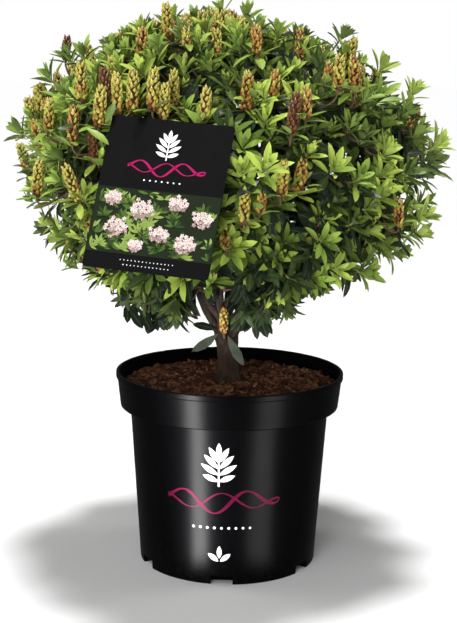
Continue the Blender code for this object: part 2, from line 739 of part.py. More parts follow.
def dress_shoot(space, tip, blanks, limbs, pieces, taken, rng, with_bud):
    """A shoot's last stretch with leaves in tiers on its three faces, and a bud at its tip."""
    frame = shoot_frame(tip)
    turned_by = frame.to_3x3()
    axis = turned_by @ Vector((0, 0, 1))
    new_object("shoot", blanks["shoot"], pieces).matrix_world = frame
    own = []
    if with_bud:
        matrix = frame @ Matrix.Diagonal((BUD_RADIUS, BUD_RADIUS, BUD_LENGTH, 1.0))
        top = tip + axis * BUD_LENGTH
        faces = faces_of(blanks["bud"], matrix)
        free = not any(faces.overlap(other) for other in taken)
        if free and space.room(top) > BUD_RADIUS and clear_of_limbs(top, limbs, BUD_RADIUS):
            new_object("bud", blanks["bud"], pieces).matrix_world = matrix
            own.append(faces)
    for turn, opened, down in leaf_headings(rng):
        length = LEAF_LENGTH * rng.uniform(LEAF_SHORTEST, LEAF_LONGEST)
        for shorter, wider in LEAF_TRIES:
            out = Vector((math.sin(turn), math.cos(turn), 0)) * math.sin(opened + wider)
            heading = turned_by @ (out + Vector((0, 0, math.cos(opened + wider))))
            base = tip - axis * down - heading * LEAF_ROOT
            size = (length * shorter, LEAF_WIDTH * shorter, LEAF_THICK)
            matrix = leaf_matrix(base, heading, axis, *size)
            corners, blade = blade_of(matrix)
            if leaf_fits(space, corners, blade, limbs, taken + own):
                new_object("leaf", blanks["leaf"], pieces).matrix_world = matrix
                own.append(blade)
                break
    taken += own
    taken.append(faces_of(blanks["shoot"], frame))


def keep_main_shell(mesh):
    """Drops loose scraps and the walls of sealed hollows: all but the largest connected shell."""
    shape = bmesh.new()
    shape.from_mesh(mesh)
    unseen = set(shape.verts)
    shells = []
    while unseen:
        shell, queue = set(), [unseen.pop()]
        while queue:
            vertex = queue.pop()
            shell.add(vertex)
            for edge in vertex.link_edges:
                other = edge.other_vert(vertex)
                if other in unseen:
                    unseen.discard(other)
                    queue.append(other)
        shells.append(shell)
    shells.sort(key=len)
    for shell in shells[:-1]:
        bmesh.ops.delete(shape, geom=list(shell), context="VERTS")
    bmesh.ops.triangulate(shape, faces=shape.faces)
    shape.to_mesh(mesh)
    shape.free()


def fuse(body, pieces):
    """Joins the collection's pieces to the body by one Boolean union, applied."""
    union = body.modifiers.new("fuse", "BOOLEAN")
    union.operation = "UNION"
    union.operand_type = "COLLECTION"
    union.collection = pieces
    union.solver = "EXACT"
    bpy.context.view_layer.update()
    graph = bpy.context.evaluated_depsgraph_get()
    mesh = bpy.data.meshes.new_from_object(body.evaluated_get(graph), depsgraph=graph)
    body.modifiers.clear()
    keep_main_shell(mesh)
    body.data = mesh
    for piece in list(pieces.objects):
        bpy.data.objects.remove(piece, do_unlink=True)
    bpy.data.collections.remove(pieces)


def make_mass(space, bough, limbs, blanks, outline, parts, material):
    """One mass of foliage: a stem on from its bough, twigs, leaves and buds fused round a core."""
    rng = random.Random(f"{SEED} {space.name}")
    pieces = new_collection(space.name + "_pieces")
    end, heading = bough.tip()
    start = end + heading * CLEAR
    hub = hub_of(space)
    stub = start + heading * STUB_LENGTH
    control = stub + heading * (hub - stub).length * SHOOT_BEND
    stem_points = [start, *bezier(stub, control, hub, 3)]
    stem_radii = tapering(bough.radii[-1], bough.radii[-1] * STEM_TAPER, len(stem_points))
    tube(space.name + "_stem", stem_points, stem_radii, pieces, sides=6)
    twigs = []
    grow(hub, (hub - start).normalized(), shoot_tips(space, rng), twigs)
    taken = []
    shoots = 0
    for path, tip in twigs:
        marks = path[1:] if tip is None else [*path[1:], tip]
        if any(space.room(mark) < TWIG_ROOM or not clear_of_limbs(mark, limbs, TWIG_CLEAR) for mark in marks):
            continue
        first = TWIG_RADIUS * (TWIG_TAPER if tip is None else 1.0)
        tube("twig", path, tapering(first, TWIG_RADIUS, len(path)), pieces, outline=outline)
        if tip is not None:
            shoots += 1
            with_bud = shoots % BUD_EVERY == 1
            dress_shoot(space, tip, blanks, limbs, pieces, taken, rng, with_bud)
    body = make_core(space, limbs, parts)
    fuse(body, pieces)
    body.data.materials.clear()
    body.data.materials.append(material)


def triangle_outline(collection):
    """The three-sided section of a twig, one unit in radius."""
    curve = bpy.data.curves.new("twig_section", "CURVE")
    spline = curve.splines.new("POLY")
    spline.points.add(2)
    spline.use_cyclic_u = True
    for i, point in enumerate(spline.points):
        angle = math.tau * i / 3
        point.co = (math.cos(angle), math.sin(angle), 0, 1)
    return as_cutter(new_object("twig_section", curve, collection))


def main():
    clear_scene()
    parts = new_collection("potted_rhododendron")
    cutters = new_collection("cutters")
    materials = {name: new_material(name) for name in COLOURS}
    make_pot(parts, cutters, materials["pot"])
    make_compost(parts, materials["compost"])
    trunk = make_trunk(parts, cutters, materials["bark"])
    spaces = make_spaces()
    boughs = make_boughs(spaces, parts, cutters, materials["bark"])
    make_label(parts, materials["label"])
    loop = make_loop(boughs["foliage_upper_1"], parts, materials["label"])
    outline = triangle_outline(cutters)
    blanks = {"leaf": leaf_blank(), "bud": bud_blank(), "shoot": shoot_blank()}
    for space in spaces:
        limbs = [trunk, loop, *boughs.values()]
        make_mass(space, boughs[space.name], limbs, blanks, outline, parts, materials["foliage"])


main()
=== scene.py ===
"""Potted rhododendron: leafy shoots, flower buds, bark, compost, pot and plant label.

Metres, +Z up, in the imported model's own frame. The pot stands on the floor at the origin, and -Y is the
side that the label faces. A bearing is an angle round the pot: 0 faces -Y and a quarter turn faces +X.
"""

import math
import random

import bmesh
import bpy
import numpy as np
from mathutils import Matrix, Vector, noise


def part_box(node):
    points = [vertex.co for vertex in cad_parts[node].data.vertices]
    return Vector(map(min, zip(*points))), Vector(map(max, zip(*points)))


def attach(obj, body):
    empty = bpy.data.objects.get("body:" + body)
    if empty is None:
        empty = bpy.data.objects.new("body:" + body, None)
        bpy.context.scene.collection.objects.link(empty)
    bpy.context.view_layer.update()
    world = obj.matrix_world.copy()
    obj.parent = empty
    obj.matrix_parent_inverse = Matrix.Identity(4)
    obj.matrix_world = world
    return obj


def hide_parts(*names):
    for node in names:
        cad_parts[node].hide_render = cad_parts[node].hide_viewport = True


bl_info = {
    "name": "Potted Rhododendron",
    "version": (1, 0, 0),
    "blender": (4, 5, 0),
    "location": "View3D > Sidebar > Rhododendron",
    "description": "Dresses a packed potted rhododendron with bark, shoots, buds, compost, pot and label",
    "category": "Add Mesh",
}

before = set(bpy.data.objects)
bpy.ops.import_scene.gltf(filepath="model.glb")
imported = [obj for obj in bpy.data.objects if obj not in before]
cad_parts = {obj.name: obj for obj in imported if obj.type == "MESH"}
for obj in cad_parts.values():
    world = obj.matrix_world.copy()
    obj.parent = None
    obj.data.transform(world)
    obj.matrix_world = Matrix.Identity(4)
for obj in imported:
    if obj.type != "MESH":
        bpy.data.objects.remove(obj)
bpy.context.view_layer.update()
ROOT = "root"
GOLDEN = math.pi * (3 - math.sqrt(5))

# Pot: the same outline as the solid
POT_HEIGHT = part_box("pot")[1].z
POT_WALL = 0.0017
POT_FLOOR = 0.002
BASE_RADIUS = 0.0877
BODY_TOP_RADIUS, BODY_TOP = 0.0982, 0.156
SKIRT_RADIUS, SKIRT_FOOT = 0.1080, 0.157
POT_EDGE = 0.0008
LIP_RADIUS, LIP_DEPTH, LIP_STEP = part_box("pot")[1].x, 0.0055, 0.0014
NOTCH_COUNT = 6
NOTCH_BEARING = math.radians(-3.4)
NOTCH_WIDTH, NOTCH_HEIGHT, NOTCH_REACH = 0.021, 0.008, 0.012
NOTCH_OVER, NOTCH_UNDER = 0.01, 0.002

# The pot's print. Across and height on the wall come first, then sizes; a row of dots is its count,
# the step between two, its height and a dot's radius. Its magenta is the setting's darkened to a share, as
# painted shade
PRINT_BEARING = math.radians(-3.6)
POT_SPRIG = (-0.003, 0.1205, 0.042)
POT_RIBBONS = (0.001, 0.0845, 0.112, 0.012, 0.0034)
POT_DOTS = (9, 0.0068, 0.0578, 0.00125)
SPROUT_ACROSS, SPROUT_HEIGHT, SPROUT_LEAF = -0.002, 0.0240, 0.0125
POT_MAGENTA_SHADE = 0.24
WHITE, MAGENTA = 0, 1
POT_INK, LABEL_INK, INK_SUNK = 0.00022, 0.00014, 0.0001

# Compost
COMPOST_EDGE, COMPOST_MIDDLE = 0.1765, 0.181
COMPOST_CLEAR = 0.0006
COMPOST_FOOT = NOTCH_HEIGHT + 0.0015
COMPOST_RINGS, COMPOST_STEPS = 34, 120
# Lumps of its surface: level in the noise, fineness and height
COMPOST_LUMPS = ((0.3, 55, 0.0022), (1.7, 170, 0.0011))
FLAKE_COUNT, FLAKE_FORMS, FLAKE_SPREAD = 2300, 8, 0.985
FLAKE_SHORT, FLAKE_LONG = 0.0028, 0.0072
TRUNK_ROOM = 0.0165

# Tints that stay the same whatever the settings are
PALE_FLAKE, LICHEN, DUST = (0.20, 0.105, 0.055), (0.20, 0.19, 0.15), (0.060, 0.048, 0.038)
OLD_UNDERSIDE, UNDERSIDE, MIDRIB = (0.10, 0.115, 0.085), (0.16, 0.20, 0.095), (0.36, 0.42, 0.14)

# Trunk and boughs
TRUNK_FOOT = Vector((-0.001, 0.0, COMPOST_MIDDLE))
TRUNK_FORK = Vector((-0.004, 0.0, 0.227))
TRUNK_SUNK, TRUNK_HEAD, TRUNK_STEPS = 0.003, 0.013, 64
FLARE_RADIUS, TRUNK_RADIUS, HEAD_RADIUS = 0.0130, 0.0096, 0.0118
FLARE_DROP = 0.0064
SWELL_HEIGHT, SWELL_SPREAD = 0.045, 0.009
CLOSE_HEIGHT, CLOSE_SPREAD = 0.046, 0.0135
LEADER_RADIUS, MAIN_RADIUS, SIDE_RADIUS = 0.0058, 0.0052, 0.0042
MAIN_TIP, SIDE_TIP = 0.0031, 0.0028
SLIM = 0.78
FORK_RING, FORK_STAGGER = 0.007, 0.0028
MAIN_LIFT, SIDE_LIFT = 0.24, 0.35
MAIN_RISE, SIDE_RISE = math.radians(34), math.radians(-56)
BOUGH_STEPS = 61

# Head of shoots
MIDDLE = Vector((0.0, 0.0, 0.400))
SPREAD = 0.213
RISE, RISE_POWER = 0.147, 2.0
FALL, FALL_POWER = 0.183, 1.75
UPPER_COUNT, LOWER_COUNT = 5, 7
FIRST_BEARING = math.radians(-16.0)
TOP_EDGE, BELT_EDGE, LOW_EDGE = math.radians(62), math.radians(14), math.radians(-72)
BOUGH_DEPTH, SIDE_DEPTH = 0.110, 0.074
HUB_DEPTH = 0.074
HUB_LOW = math.radians(-52)
OUTLINE_OVER, LEAST_LEAF = 0.009, 0.45
LEAN, LUMPINESS = 0.011, 0.010
HOLLOW_DEPTH, DEPTH_SCATTER, LEAST_DEPTH = 0.040, 0.0065, 0.003
HIGH_SHARE, HIGH_DEPTH, LOW_REACH = 0.07, 0.006, 0.009
FORK_DEPTH, FORK_AHEAD, TUFT_TIPS = 0.048, 0.004, 5
# A leaf's outline: places along it, each with its share of the greatest width
STATIONS = ((0.14, 0.34), (0.38, 0.90), (0.63, 1.0), (0.86, 0.60))
PIECE_LEAVES = 4800
# Buds: the sizes are one scale's width, thickness and length, and the marks divide a bud's length
BUD_KINDS = ("gold", "amber", "rust")
BUD_DEPTH, BUD_SCALES = 0.006, 46
SCALE_SIZE = (0.0044, 0.0030, 0.0076)
BUD_MARKS = (0.0, 0.12, 0.3, 0.5, 0.7, 0.85, 0.95)
# Elevations in the head's lower half: older leaves below, buds only above, shoots that hang, leaves that
# hang, sprays darkened as painted shade, shoots that reach lower, and thin growth
OLDER_BELOW, BUDS_ABOVE, SHOOTS_HANG, LEAVES_HANG, SHADE_PAINTED_BELOW, LOWER_BELOW, THIN_BELOW = (
    math.radians(angle) for angle in (-30, -38, -40, -42, -46, -48, -56)
)
# A deep hollow beside the label: bearing, elevation and spread in degrees
NICHE = (12, -14, 14)
# Lumps and dips of the head: bearing, elevation and spread in degrees, and height in metres
LUMPS = (
    (-90, 34, 5, 0.013),
    (-100, 46, 9, -0.022),
    (-90, -22, 8, 0.010),
    (90, 76, 12, -0.015),
    (93, 43, 8, 0.017),
    (96, 27, 9, -0.026),
    (90, -4, 9, 0.002),
    (90, -42, 16, -0.014),
    (90, -62, 20, -0.024),
    (45, -55, 18, -0.016),
    (0, -50, 24, -0.006),
)

# Camera
EYE = Vector((-0.002, -1.303, 0.4857))
LENS, SENSOR = 77.6, 36
CAMERA_PITCH, CAMERA_ROLL = math.radians(90 - 10.28), math.radians(0.8)

# Where sky shows through, as boxes of x and z on the plane y = 0 seen from the camera
SKY_GAPS = ((-0.034, -0.023, 0.250, 0.276), (-0.016, -0.002, 0.254, 0.272), (-0.029, -0.014, 0.234, 0.252))

# By the fork: the stub that carries a bud; single old leaves, each its foot, heading, length, share of
# width and side; and patches of hanging ones, each its least and greatest x and z, and its count
FORK_STUB = tuple(map(Vector, ((-0.005, -0.008, 0.224), (-0.006, -0.026, 0.229), (-0.0065, -0.034, 0.2355))))
FORK_LEAVES = (
    (Vector((-0.011, -0.013, 0.230)), Vector((-0.0255, -0.012, -0.0175)), 0.034, 0.30, 1),
    (Vector((-0.003, -0.014, 0.229)), Vector((0.0168, -0.013, -0.031)), 0.036, 0.27, 1),
    (Vector((-0.012, -0.009, 0.232)), Vector((-0.022, 0.004, 0.006)), 0.027, 0.34, -1),
)
FORK_PATCHES = ((0.004, 0.032, 0.250, 0.275, 26), (-0.104, -0.054, 0.252, 0.264, 12))

# Buds that show from the front: across and height on the plane y = 0 seen from the camera, colour, size.
# Each is set where its line of sight, searched in steps, is first deep enough in the head
BUD_SUNK = 0.012
SIGHT_NEAR, SIGHT_FAR, SIGHT_STEPS = 350, 550, 500
BUD_SPOTS = (
    (-0.146, 0.452, "gold", 1.05),
    (-0.130, 0.428, "gold", 1.10),
    (-0.110, 0.441, "gold", 1.10),
    (-0.097, 0.441, "gold", 1.15),
    (-0.078, 0.444, "gold", 1.10),
    (-0.067, 0.436, "gold", 0.95),
    (-0.028, 0.436, "gold", 0.85),
    (-0.122, 0.452, "rust", 0.90),
    (-0.161, 0.492, "rust", 0.65),
    (-0.155, 0.412, "amber", 1.00),
    (-0.178, 0.424, "gold", 0.85),
    (-0.190, 0.360, "gold", 1.05),
    (-0.062, 0.513, "gold", 0.95),
    (-0.088, 0.497, "amber", 0.70),
    (-0.045, 0.505, "gold", 0.50),
    (0.056, 0.424, "rust", 1.05),
    (0.100, 0.467, "gold", 0.90),
    (0.116, 0.466, "amber", 0.90),
    (0.048, 0.363, "gold", 0.95),
    (0.012, 0.337, "gold", 0.95),
    (0.028, 0.349, "amber", 0.45),
    (-0.006, 0.312, "amber", 0.40),
    (0.163, 0.337, "amber", 0.75),
    (0.070, 0.440, "amber", 0.75),
    (0.022, 0.500, "amber", 0.75),
)

# Plant label
LABEL_WIDTH, LABEL_HEIGHT, LABEL_THICK = 0.105, 0.135, 0.0009
LABEL_MIDDLE = Vector((-0.060, -0.205, 0.382))
LABEL_TURN = (math.radians(-27.5), math.radians(4.4), math.radians(-10.4))
LABEL_FRONT = 0.075
LEAF_CLEAR, SHOOT_CLEAR, BUD_CLEAR = 0.0035, 0.002, 0.003
LABEL_SIGHT = Vector((0.05, -1.0, 0.08))

# The label's print, with the same kinds of rows as the pot's, then its picture of leaves and blossom: the
# band that it fills, how many fans of leaves, its tints and the slots that they take after white and magenta
LABEL_SPRIG = (0.0, 0.0445, 0.027)
LABEL_RIBBONS = (0.002, 0.0235, 0.066, 0.0072, 0.0021)
LABEL_DOTS = (
    (7, 0.0050, 0.0120, 0.00075),
    (15, 0.0031, -0.0585, 0.00045),
    (13, 0.0031, -0.0625, 0.00045),
)
PICTURE_HALF, PICTURE_LOW, PICTURE_HIGH = LABEL_WIDTH / 2 - 0.0004, -0.0535, 0.0035
PICTURE_FANS, FAN_LEAVES, PICTURE_MARGIN = 64, 7, 0.0010
PICTURE_TINTS = {
    "hedge": (0.0090, 0.0150, 0.0060),
    "leaf_mid": (0.060, 0.105, 0.022),
    "leaf_light": (0.190, 0.270, 0.060),
    "petal": (0.50, 0.375, 0.355),
    "petal_pale": (0.66, 0.555, 0.525),
    "eye": (0.20, 0.10, 0.07),
    "leaf_dark": (0.022, 0.042, 0.012),
    "petal_shade": (0.30, 0.205, 0.195),
}
HEDGE, LEAF_MID, LEAF_LIGHT, PETAL, PETAL_PALE, FLOWER_EYE, LEAF_DARK, PETAL_SHADE = range(2, 10)
# Heads of blossom: across, height and radius
BLOSSOMS = (
    (-0.037, -0.006, 0.0075),
    (-0.012, -0.014, 0.0105),
    (0.017, -0.006, 0.0080),
    (0.039, -0.017, 0.0085),
    (-0.030, -0.031, 0.0100),
    (0.006, -0.034, 0.0085),
    (0.029, -0.040, 0.0100),
    (-0.012, -0.046, 0.0060),
)

# Floor and lights. A soft light is its name, bearing and elevation in degrees, and a strip, which draws a
# sheen down the pot's wall, is its side, bearing and width
FLOOR_RINGS = (0, 3, 12, 40)
TOP_SPREAD, GLOW_SPREAD = math.radians(9), math.radians(35)
TOP_PLACE, GLOW_BEARING, GLOW_ELEVATION = Vector((0.02, 0.0, 1.0)), math.radians(-30), math.radians(52)
SOFT_SIZE, SOFT_AWAY = 1.0, 2.1
SOFT_LIGHTS = (("front", -14, 1), ("left", -105, 0), ("right", 105, 0))
STRIPS = (("left", -17.5, 0.032), ("right", 20, 0.055))
STRIP_LENGTH, STRIP_HEIGHT, STRIP_LIFT, STRIP_SPREAD = 0.20, 0.090, 0.030, math.radians(50)
STRIP_WALL, STRIP_AWAY = 0.093, 0.085


# Settings


def number(name, text, default, **kind):
    return bpy.props.FloatProperty(name=name, description=text, default=default, **kind)


def size(name, text, default):
    return number(name, text, default, unit="LENGTH", precision=4)


def colour(name, text, default):
    return bpy.props.FloatVectorProperty(
        name=name, description=text, default=default, size=3, min=0.0, max=1.0, subtype="COLOR"
    )


class RhododendronShoots(bpy.types.PropertyGroup):
    """How many shoots there are, and the sizes of what grows on them."""

    seed: bpy.props.IntProperty(name="Seed", description="Start of the seeded growth", default=23)
    count: bpy.props.IntProperty(name="Shoots", description="Shoots over the whole head", default=980)
    depth: size("Tip depth", "How far a shoot's tip stays below the head's outline", 0.023)
    leaf_length: size("Leaf length", "Length of a full-grown young leaf", 0.0218)
    leaf_width: size("Leaf width", "Width of a full-grown young leaf", 0.0068)
    leaf_thick: size("Leaf thickness", "Thickness of a leaf at its midrib", 0.0005)
    bud_length: size("Bud length", "Length of a flower bud", 0.033)
    bud_radius: size("Bud radius", "Greatest radius of a flower bud", 0.0051)
    bud_share: number(
        "Bud share", "Share of shoots that end in a flower bud", 0.33, subtype="FACTOR", min=0.0, max=1.0
    )
    twig: size("Twig radius", "Radius of the finest twigs", 0.0009)


class RhododendronColours(bpy.types.PropertyGroup):
    """Plain colours of the plant, dealt out by spray."""

    lime: colour("Lime leaf", "Youngest leaves", (0.375, 0.480, 0.085))
    fresh: colour("Fresh leaf", "Young leaves", (0.215, 0.315, 0.050))
    green: colour("Green leaf", "Leaves of last summer", (0.092, 0.142, 0.024))
    # The deep and old tints are the older leaves' darker green, deepened further as painted shade inside and
    # under the head
    deep: colour("Deep leaf", "Older leaves", (0.030, 0.050, 0.014))
    old: colour("Old leaf", "Oldest leaves, inside and underneath", (0.013, 0.021, 0.012))
    gold: colour("Gold scale", "Bud scales near the tip", (0.41, 0.355, 0.068))
    amber: colour("Amber scale", "Bud scales lower down", (0.34, 0.180, 0.038))
    rust: colour("Rust scale", "Dry bud scales", (0.13, 0.052, 0.020))
    bark: colour("Bark", "Trunk and boughs", (0.026, 0.0165, 0.0115))
    shoot: colour("Shoot stem", "Green stem of a young shoot", (0.225, 0.275, 0.075))
    twig: colour("Twig", "Woody twigs", (0.120, 0.074, 0.044))


class RhododendronPot(bpy.types.PropertyGroup):
    """Colours of the pot, the compost and what is printed, and how finely the pot is turned."""

    plastic: colour("Pot plastic", "Black moulded plastic", (0.0014, 0.0014, 0.0017))
    compost: colour("Compost", "Damp bark and peat", (0.120, 0.050, 0.026))
    card: colour("Label card", "Black printed card", (0.0026, 0.0026, 0.0030))
    white: colour("White ink", "White print", (0.86, 0.86, 0.86))
    magenta: colour("Magenta ink", "Magenta print", (0.34, 0.006, 0.085))
    steps: bpy.props.IntProperty(name="Pot steps", description="Faces round the pot", default=160)


class RhododendronStudio(bpy.types.PropertyGroup):
    """Floor and lights."""

    top_light: number("Top light", "Strength of the overhead light", 3.4)
    key: number("Front light", "Power of the soft front light", 36.0, unit="POWER")
    glow: number("High light", "Strength of the light from high in front", 0.75)
    side: number("Side lights", "Power of each soft side light", 24.0, unit="POWER")
    left_light: number("Left light", "Power of each left strip light", 0.15, unit="POWER")
    right_light: number("Right light", "Power of each right strip light", 0.036, unit="POWER")
    fill: number("Fill", "Strength of the light from all round", 0.11)


# Materials


class Term:
    """A shader socket that can stand in a Python sum; each operation on it adds a Math node."""

    def __init__(self, nodes, socket):
        self.nodes = nodes
        self.socket = socket

    def _math(self, operation, *values):
        return self.nodes.add("ShaderNodeMath", {"operation": operation}, dict(enumerate(values)))

    def __add__(self, other):
        return self._math("ADD", self, other)

    def __sub__(self, other):
        return self._math("SUBTRACT", self, other)

    def __rsub__(self, other):
        return self._math("SUBTRACT", other, self)

    def __mul__(self, other):
        return self._math("MULTIPLY", self, other)

    __radd__ = __add__
    __rmul__ = __mul__

    def above(self, low, high):
        """0 below low, 1 above high, and a straight run between."""
        return self.nodes.add("ShaderNodeMapRange", {}, {0: self, 1: low, 2: high})


class Nodes:
    """A node tree whose further nodes all come from one method."""

    def __init__(self, tree):
        self.tree = tree

    def put(self, socket, value):
        if isinstance(value, Term):
            self.tree.links.new(value.socket, socket)
        elif hasattr(value, "__len__") and len(value) == 3 and socket.type == "RGBA":
            socket.default_value = (*value, 1.0)
        else:
            socket.default_value = value

    def add(self, kind, settings, values, out=0):
        """A node of this type: first its settings or ramp stops, then its sockets' values or links."""
        node = self.tree.nodes.new(kind)
        for key, value in settings.items():
            if key == "stops":
                while len(node.color_ramp.elements) < len(value):
                    node.color_ramp.elements.new(0.5)
                for element, (place, tint) in zip(node.color_ramp.elements, value):
                    element.position = place
                    element.color = (*tint, 1.0)
            else:
                setattr(node, key, value)
        for key, value in values.items():
            self.put(node.inputs[key], value)
        return Term(self, node.outputs[out])


class Finish(Nodes):
    """A Principled material for one surface."""

    def __init__(self, name, roughness, **constants):
        self.material = bpy.data.materials.new(name)
        self.material.use_nodes = True
        super().__init__(self.material.node_tree)
        self.shader = self.tree.nodes["Principled BSDF"]
        self.put(self.shader.inputs["Roughness"], roughness)
        for key, value in constants.items():
            self.put(self.shader.inputs[key.replace("_", " ")], value)

    def places(self, stretch=(1, 1, 1)):
        """The object's own coordinates, stretched."""
        coordinates = self.add("ShaderNodeTexCoord", {}, {}, out="Object")
        return self.add("ShaderNodeMapping", {}, {"Vector": coordinates, "Scale": stretch})

    def grain(self, scale, detail=2.0, stretch=(1, 1, 1), rough=0.5):
        values = {"Vector": self.places(stretch), "Scale": scale, "Detail": detail, "Roughness": rough}
        return self.add("ShaderNodeTexNoise", {}, values)

    def mix(self, factor, first, second):
        return self.add("ShaderNodeMix", {"data_type": "RGBA"}, {0: factor, 6: first, 7: second}, out=2)

    def shades(self, factor, tint, *stops):
        """A ramp of one tint: each stop is its place and how much of the tint's light it has."""
        stops = [(place, shade(tint, light)) for place, light in stops]
        return self.add("ShaderNodeValToRGB", {"stops": stops}, {"Fac": factor})

    def paint(self, tint):
        self.put(self.shader.inputs["Base Color"], tint)

    def gloss(self, roughness):
        self.put(self.shader.inputs["Roughness"], roughness)

    def relief(self, height, strength, distance):
        values = {"Height": height, "Strength": strength, "Distance": distance}
        bump = self.add("ShaderNodeBump", {}, values)
        self.put(self.shader.inputs["Normal"], bump)


def shade(tint, factor):
    return tuple(min(1.0, c * factor) for c in tint)


def blend_tints(first, second, share):
    return tuple(a + (b - a) * share for a, b in zip(first, second))


def leaf_finish(name, tint, roughness):
    """Leathery leaf skin: a little mottling and a fine pebbled grain."""
    finish = Finish(name, roughness, Specular_IOR_Level=0.25)
    mottle = finish.grain(70.0, detail=1.0)
    finish.paint(finish.shades(mottle, tint, (0.30, 0.80), (0.70, 1.18)))
    finish.gloss(finish.grain(300.0, detail=1.0).above(0.2, 0.8) * 0.14 + (roughness - 0.07))
    finish.relief(finish.grain(900.0), 0.12, 0.0004)
    return finish.material


def stem_finish(name, tint):
    finish = Finish(name, 0.62)
    streak = finish.grain(160.0, detail=3.0, stretch=(1, 1, 0.3))
    finish.paint(finish.shades(streak, tint, (0.30, 0.62), (0.72, 1.3)))
    finish.relief(finish.grain(700.0, detail=3.0), 0.3, 0.0005)
    return finish.material


def bark_finish(tint):
    """Rough bark: dark cracks along the limb, grey-brown plates and a few pale specks of lichen."""
    finish = Finish("bark", 0.86)
    plates = finish.grain(130.0, detail=6.0, stretch=(1, 1, 0.32), rough=0.62)
    specks = finish.grain(420.0).above(0.66, 0.74)
    wood = finish.shades(plates, tint, (0.28, 0.22), (0.48, 0.9), (0.74, 2.1))
    finish.paint(finish.mix(specks * 0.35, wood, LICHEN))
    finish.relief(plates, 0.9, 0.0016)
    return finish.material


def scale_finish(name, tint):
    """Bud scales: waxy, mottled darker and paler."""
    finish = Finish(name, 0.42, Coat_Weight=0.12, Coat_Roughness=0.3)
    mottle = finish.grain(260.0)
    finish.paint(finish.shades(mottle, tint, (0.28, 0.55), (0.50, 1.0), (0.76, 1.22)))
    finish.relief(finish.grain(1100.0, detail=1.0), 0.2, 0.0003)
    return finish.material


def chip_finish(name, tint):
    finish = Finish(name, 0.93)
    fibres = finish.grain(240.0, detail=5.0, stretch=(1, 0.4, 1), rough=0.65)
    finish.paint(finish.shades(fibres, tint, (0.25, 0.35), (0.52, 1.0), (0.78, 1.8)))
    finish.relief(fibres, 0.8, 0.0012)
    return finish.material


def pot_finish(tint):
    """Black moulded plastic: satin, faintly grained, with a trace of dust and scuffs low down."""
    finish = Finish("pot_plastic", 0.3, Specular_IOR_Level=0.05)
    cloud = finish.grain(26.0, detail=3.0, stretch=(1, 1, 0.4))
    height = finish.add("ShaderNodeSeparateXYZ", {}, {0: finish.places()}, out=2)
    low = 1 - height.above(0.0, 0.035)
    specks = finish.grain(520.0).above(0.60, 0.72)
    dust = specks * (low * 0.25 + 0.04)
    finish.paint(finish.mix(dust, tint, DUST))
    finish.gloss(cloud.above(0.3, 0.7) * 0.04 + 0.31 + dust * 0.4)
    finish.relief(finish.grain(1500.0), 0.05, 0.0003)
    return finish.material


def ink_finish(name, tint):
    """Screen-printed ink with slightly uneven cover."""
    finish = Finish(name, 0.5, Specular_IOR_Level=0.08)
    cover = finish.grain(420.0)
    finish.paint(finish.shades(cover, tint, (0.25, 0.88), (0.60, 1.0)))
    finish.gloss(cover * 0.12 + 0.44)
    return finish.material


def card_finish(tint):
    """Printed plastic card: satin black with faint rub marks."""
    finish = Finish("label_card", 0.4, Specular_IOR_Level=0.05)
    rub = finish.grain(90.0, detail=4.0, stretch=(1, 1, 0.2))
    finish.paint(finish.shades(rub, tint, (0.30, 0.85), (0.75, 1.5)))
    finish.gloss(rub.above(0.3, 0.8) * 0.15 + 0.34)
    finish.relief(finish.grain(1400.0, detail=1.0), 0.04, 0.0002)
    return finish.material


# Meshes


def rows_of(vectors):
    return np.array([tuple(v) for v in vectors], float)


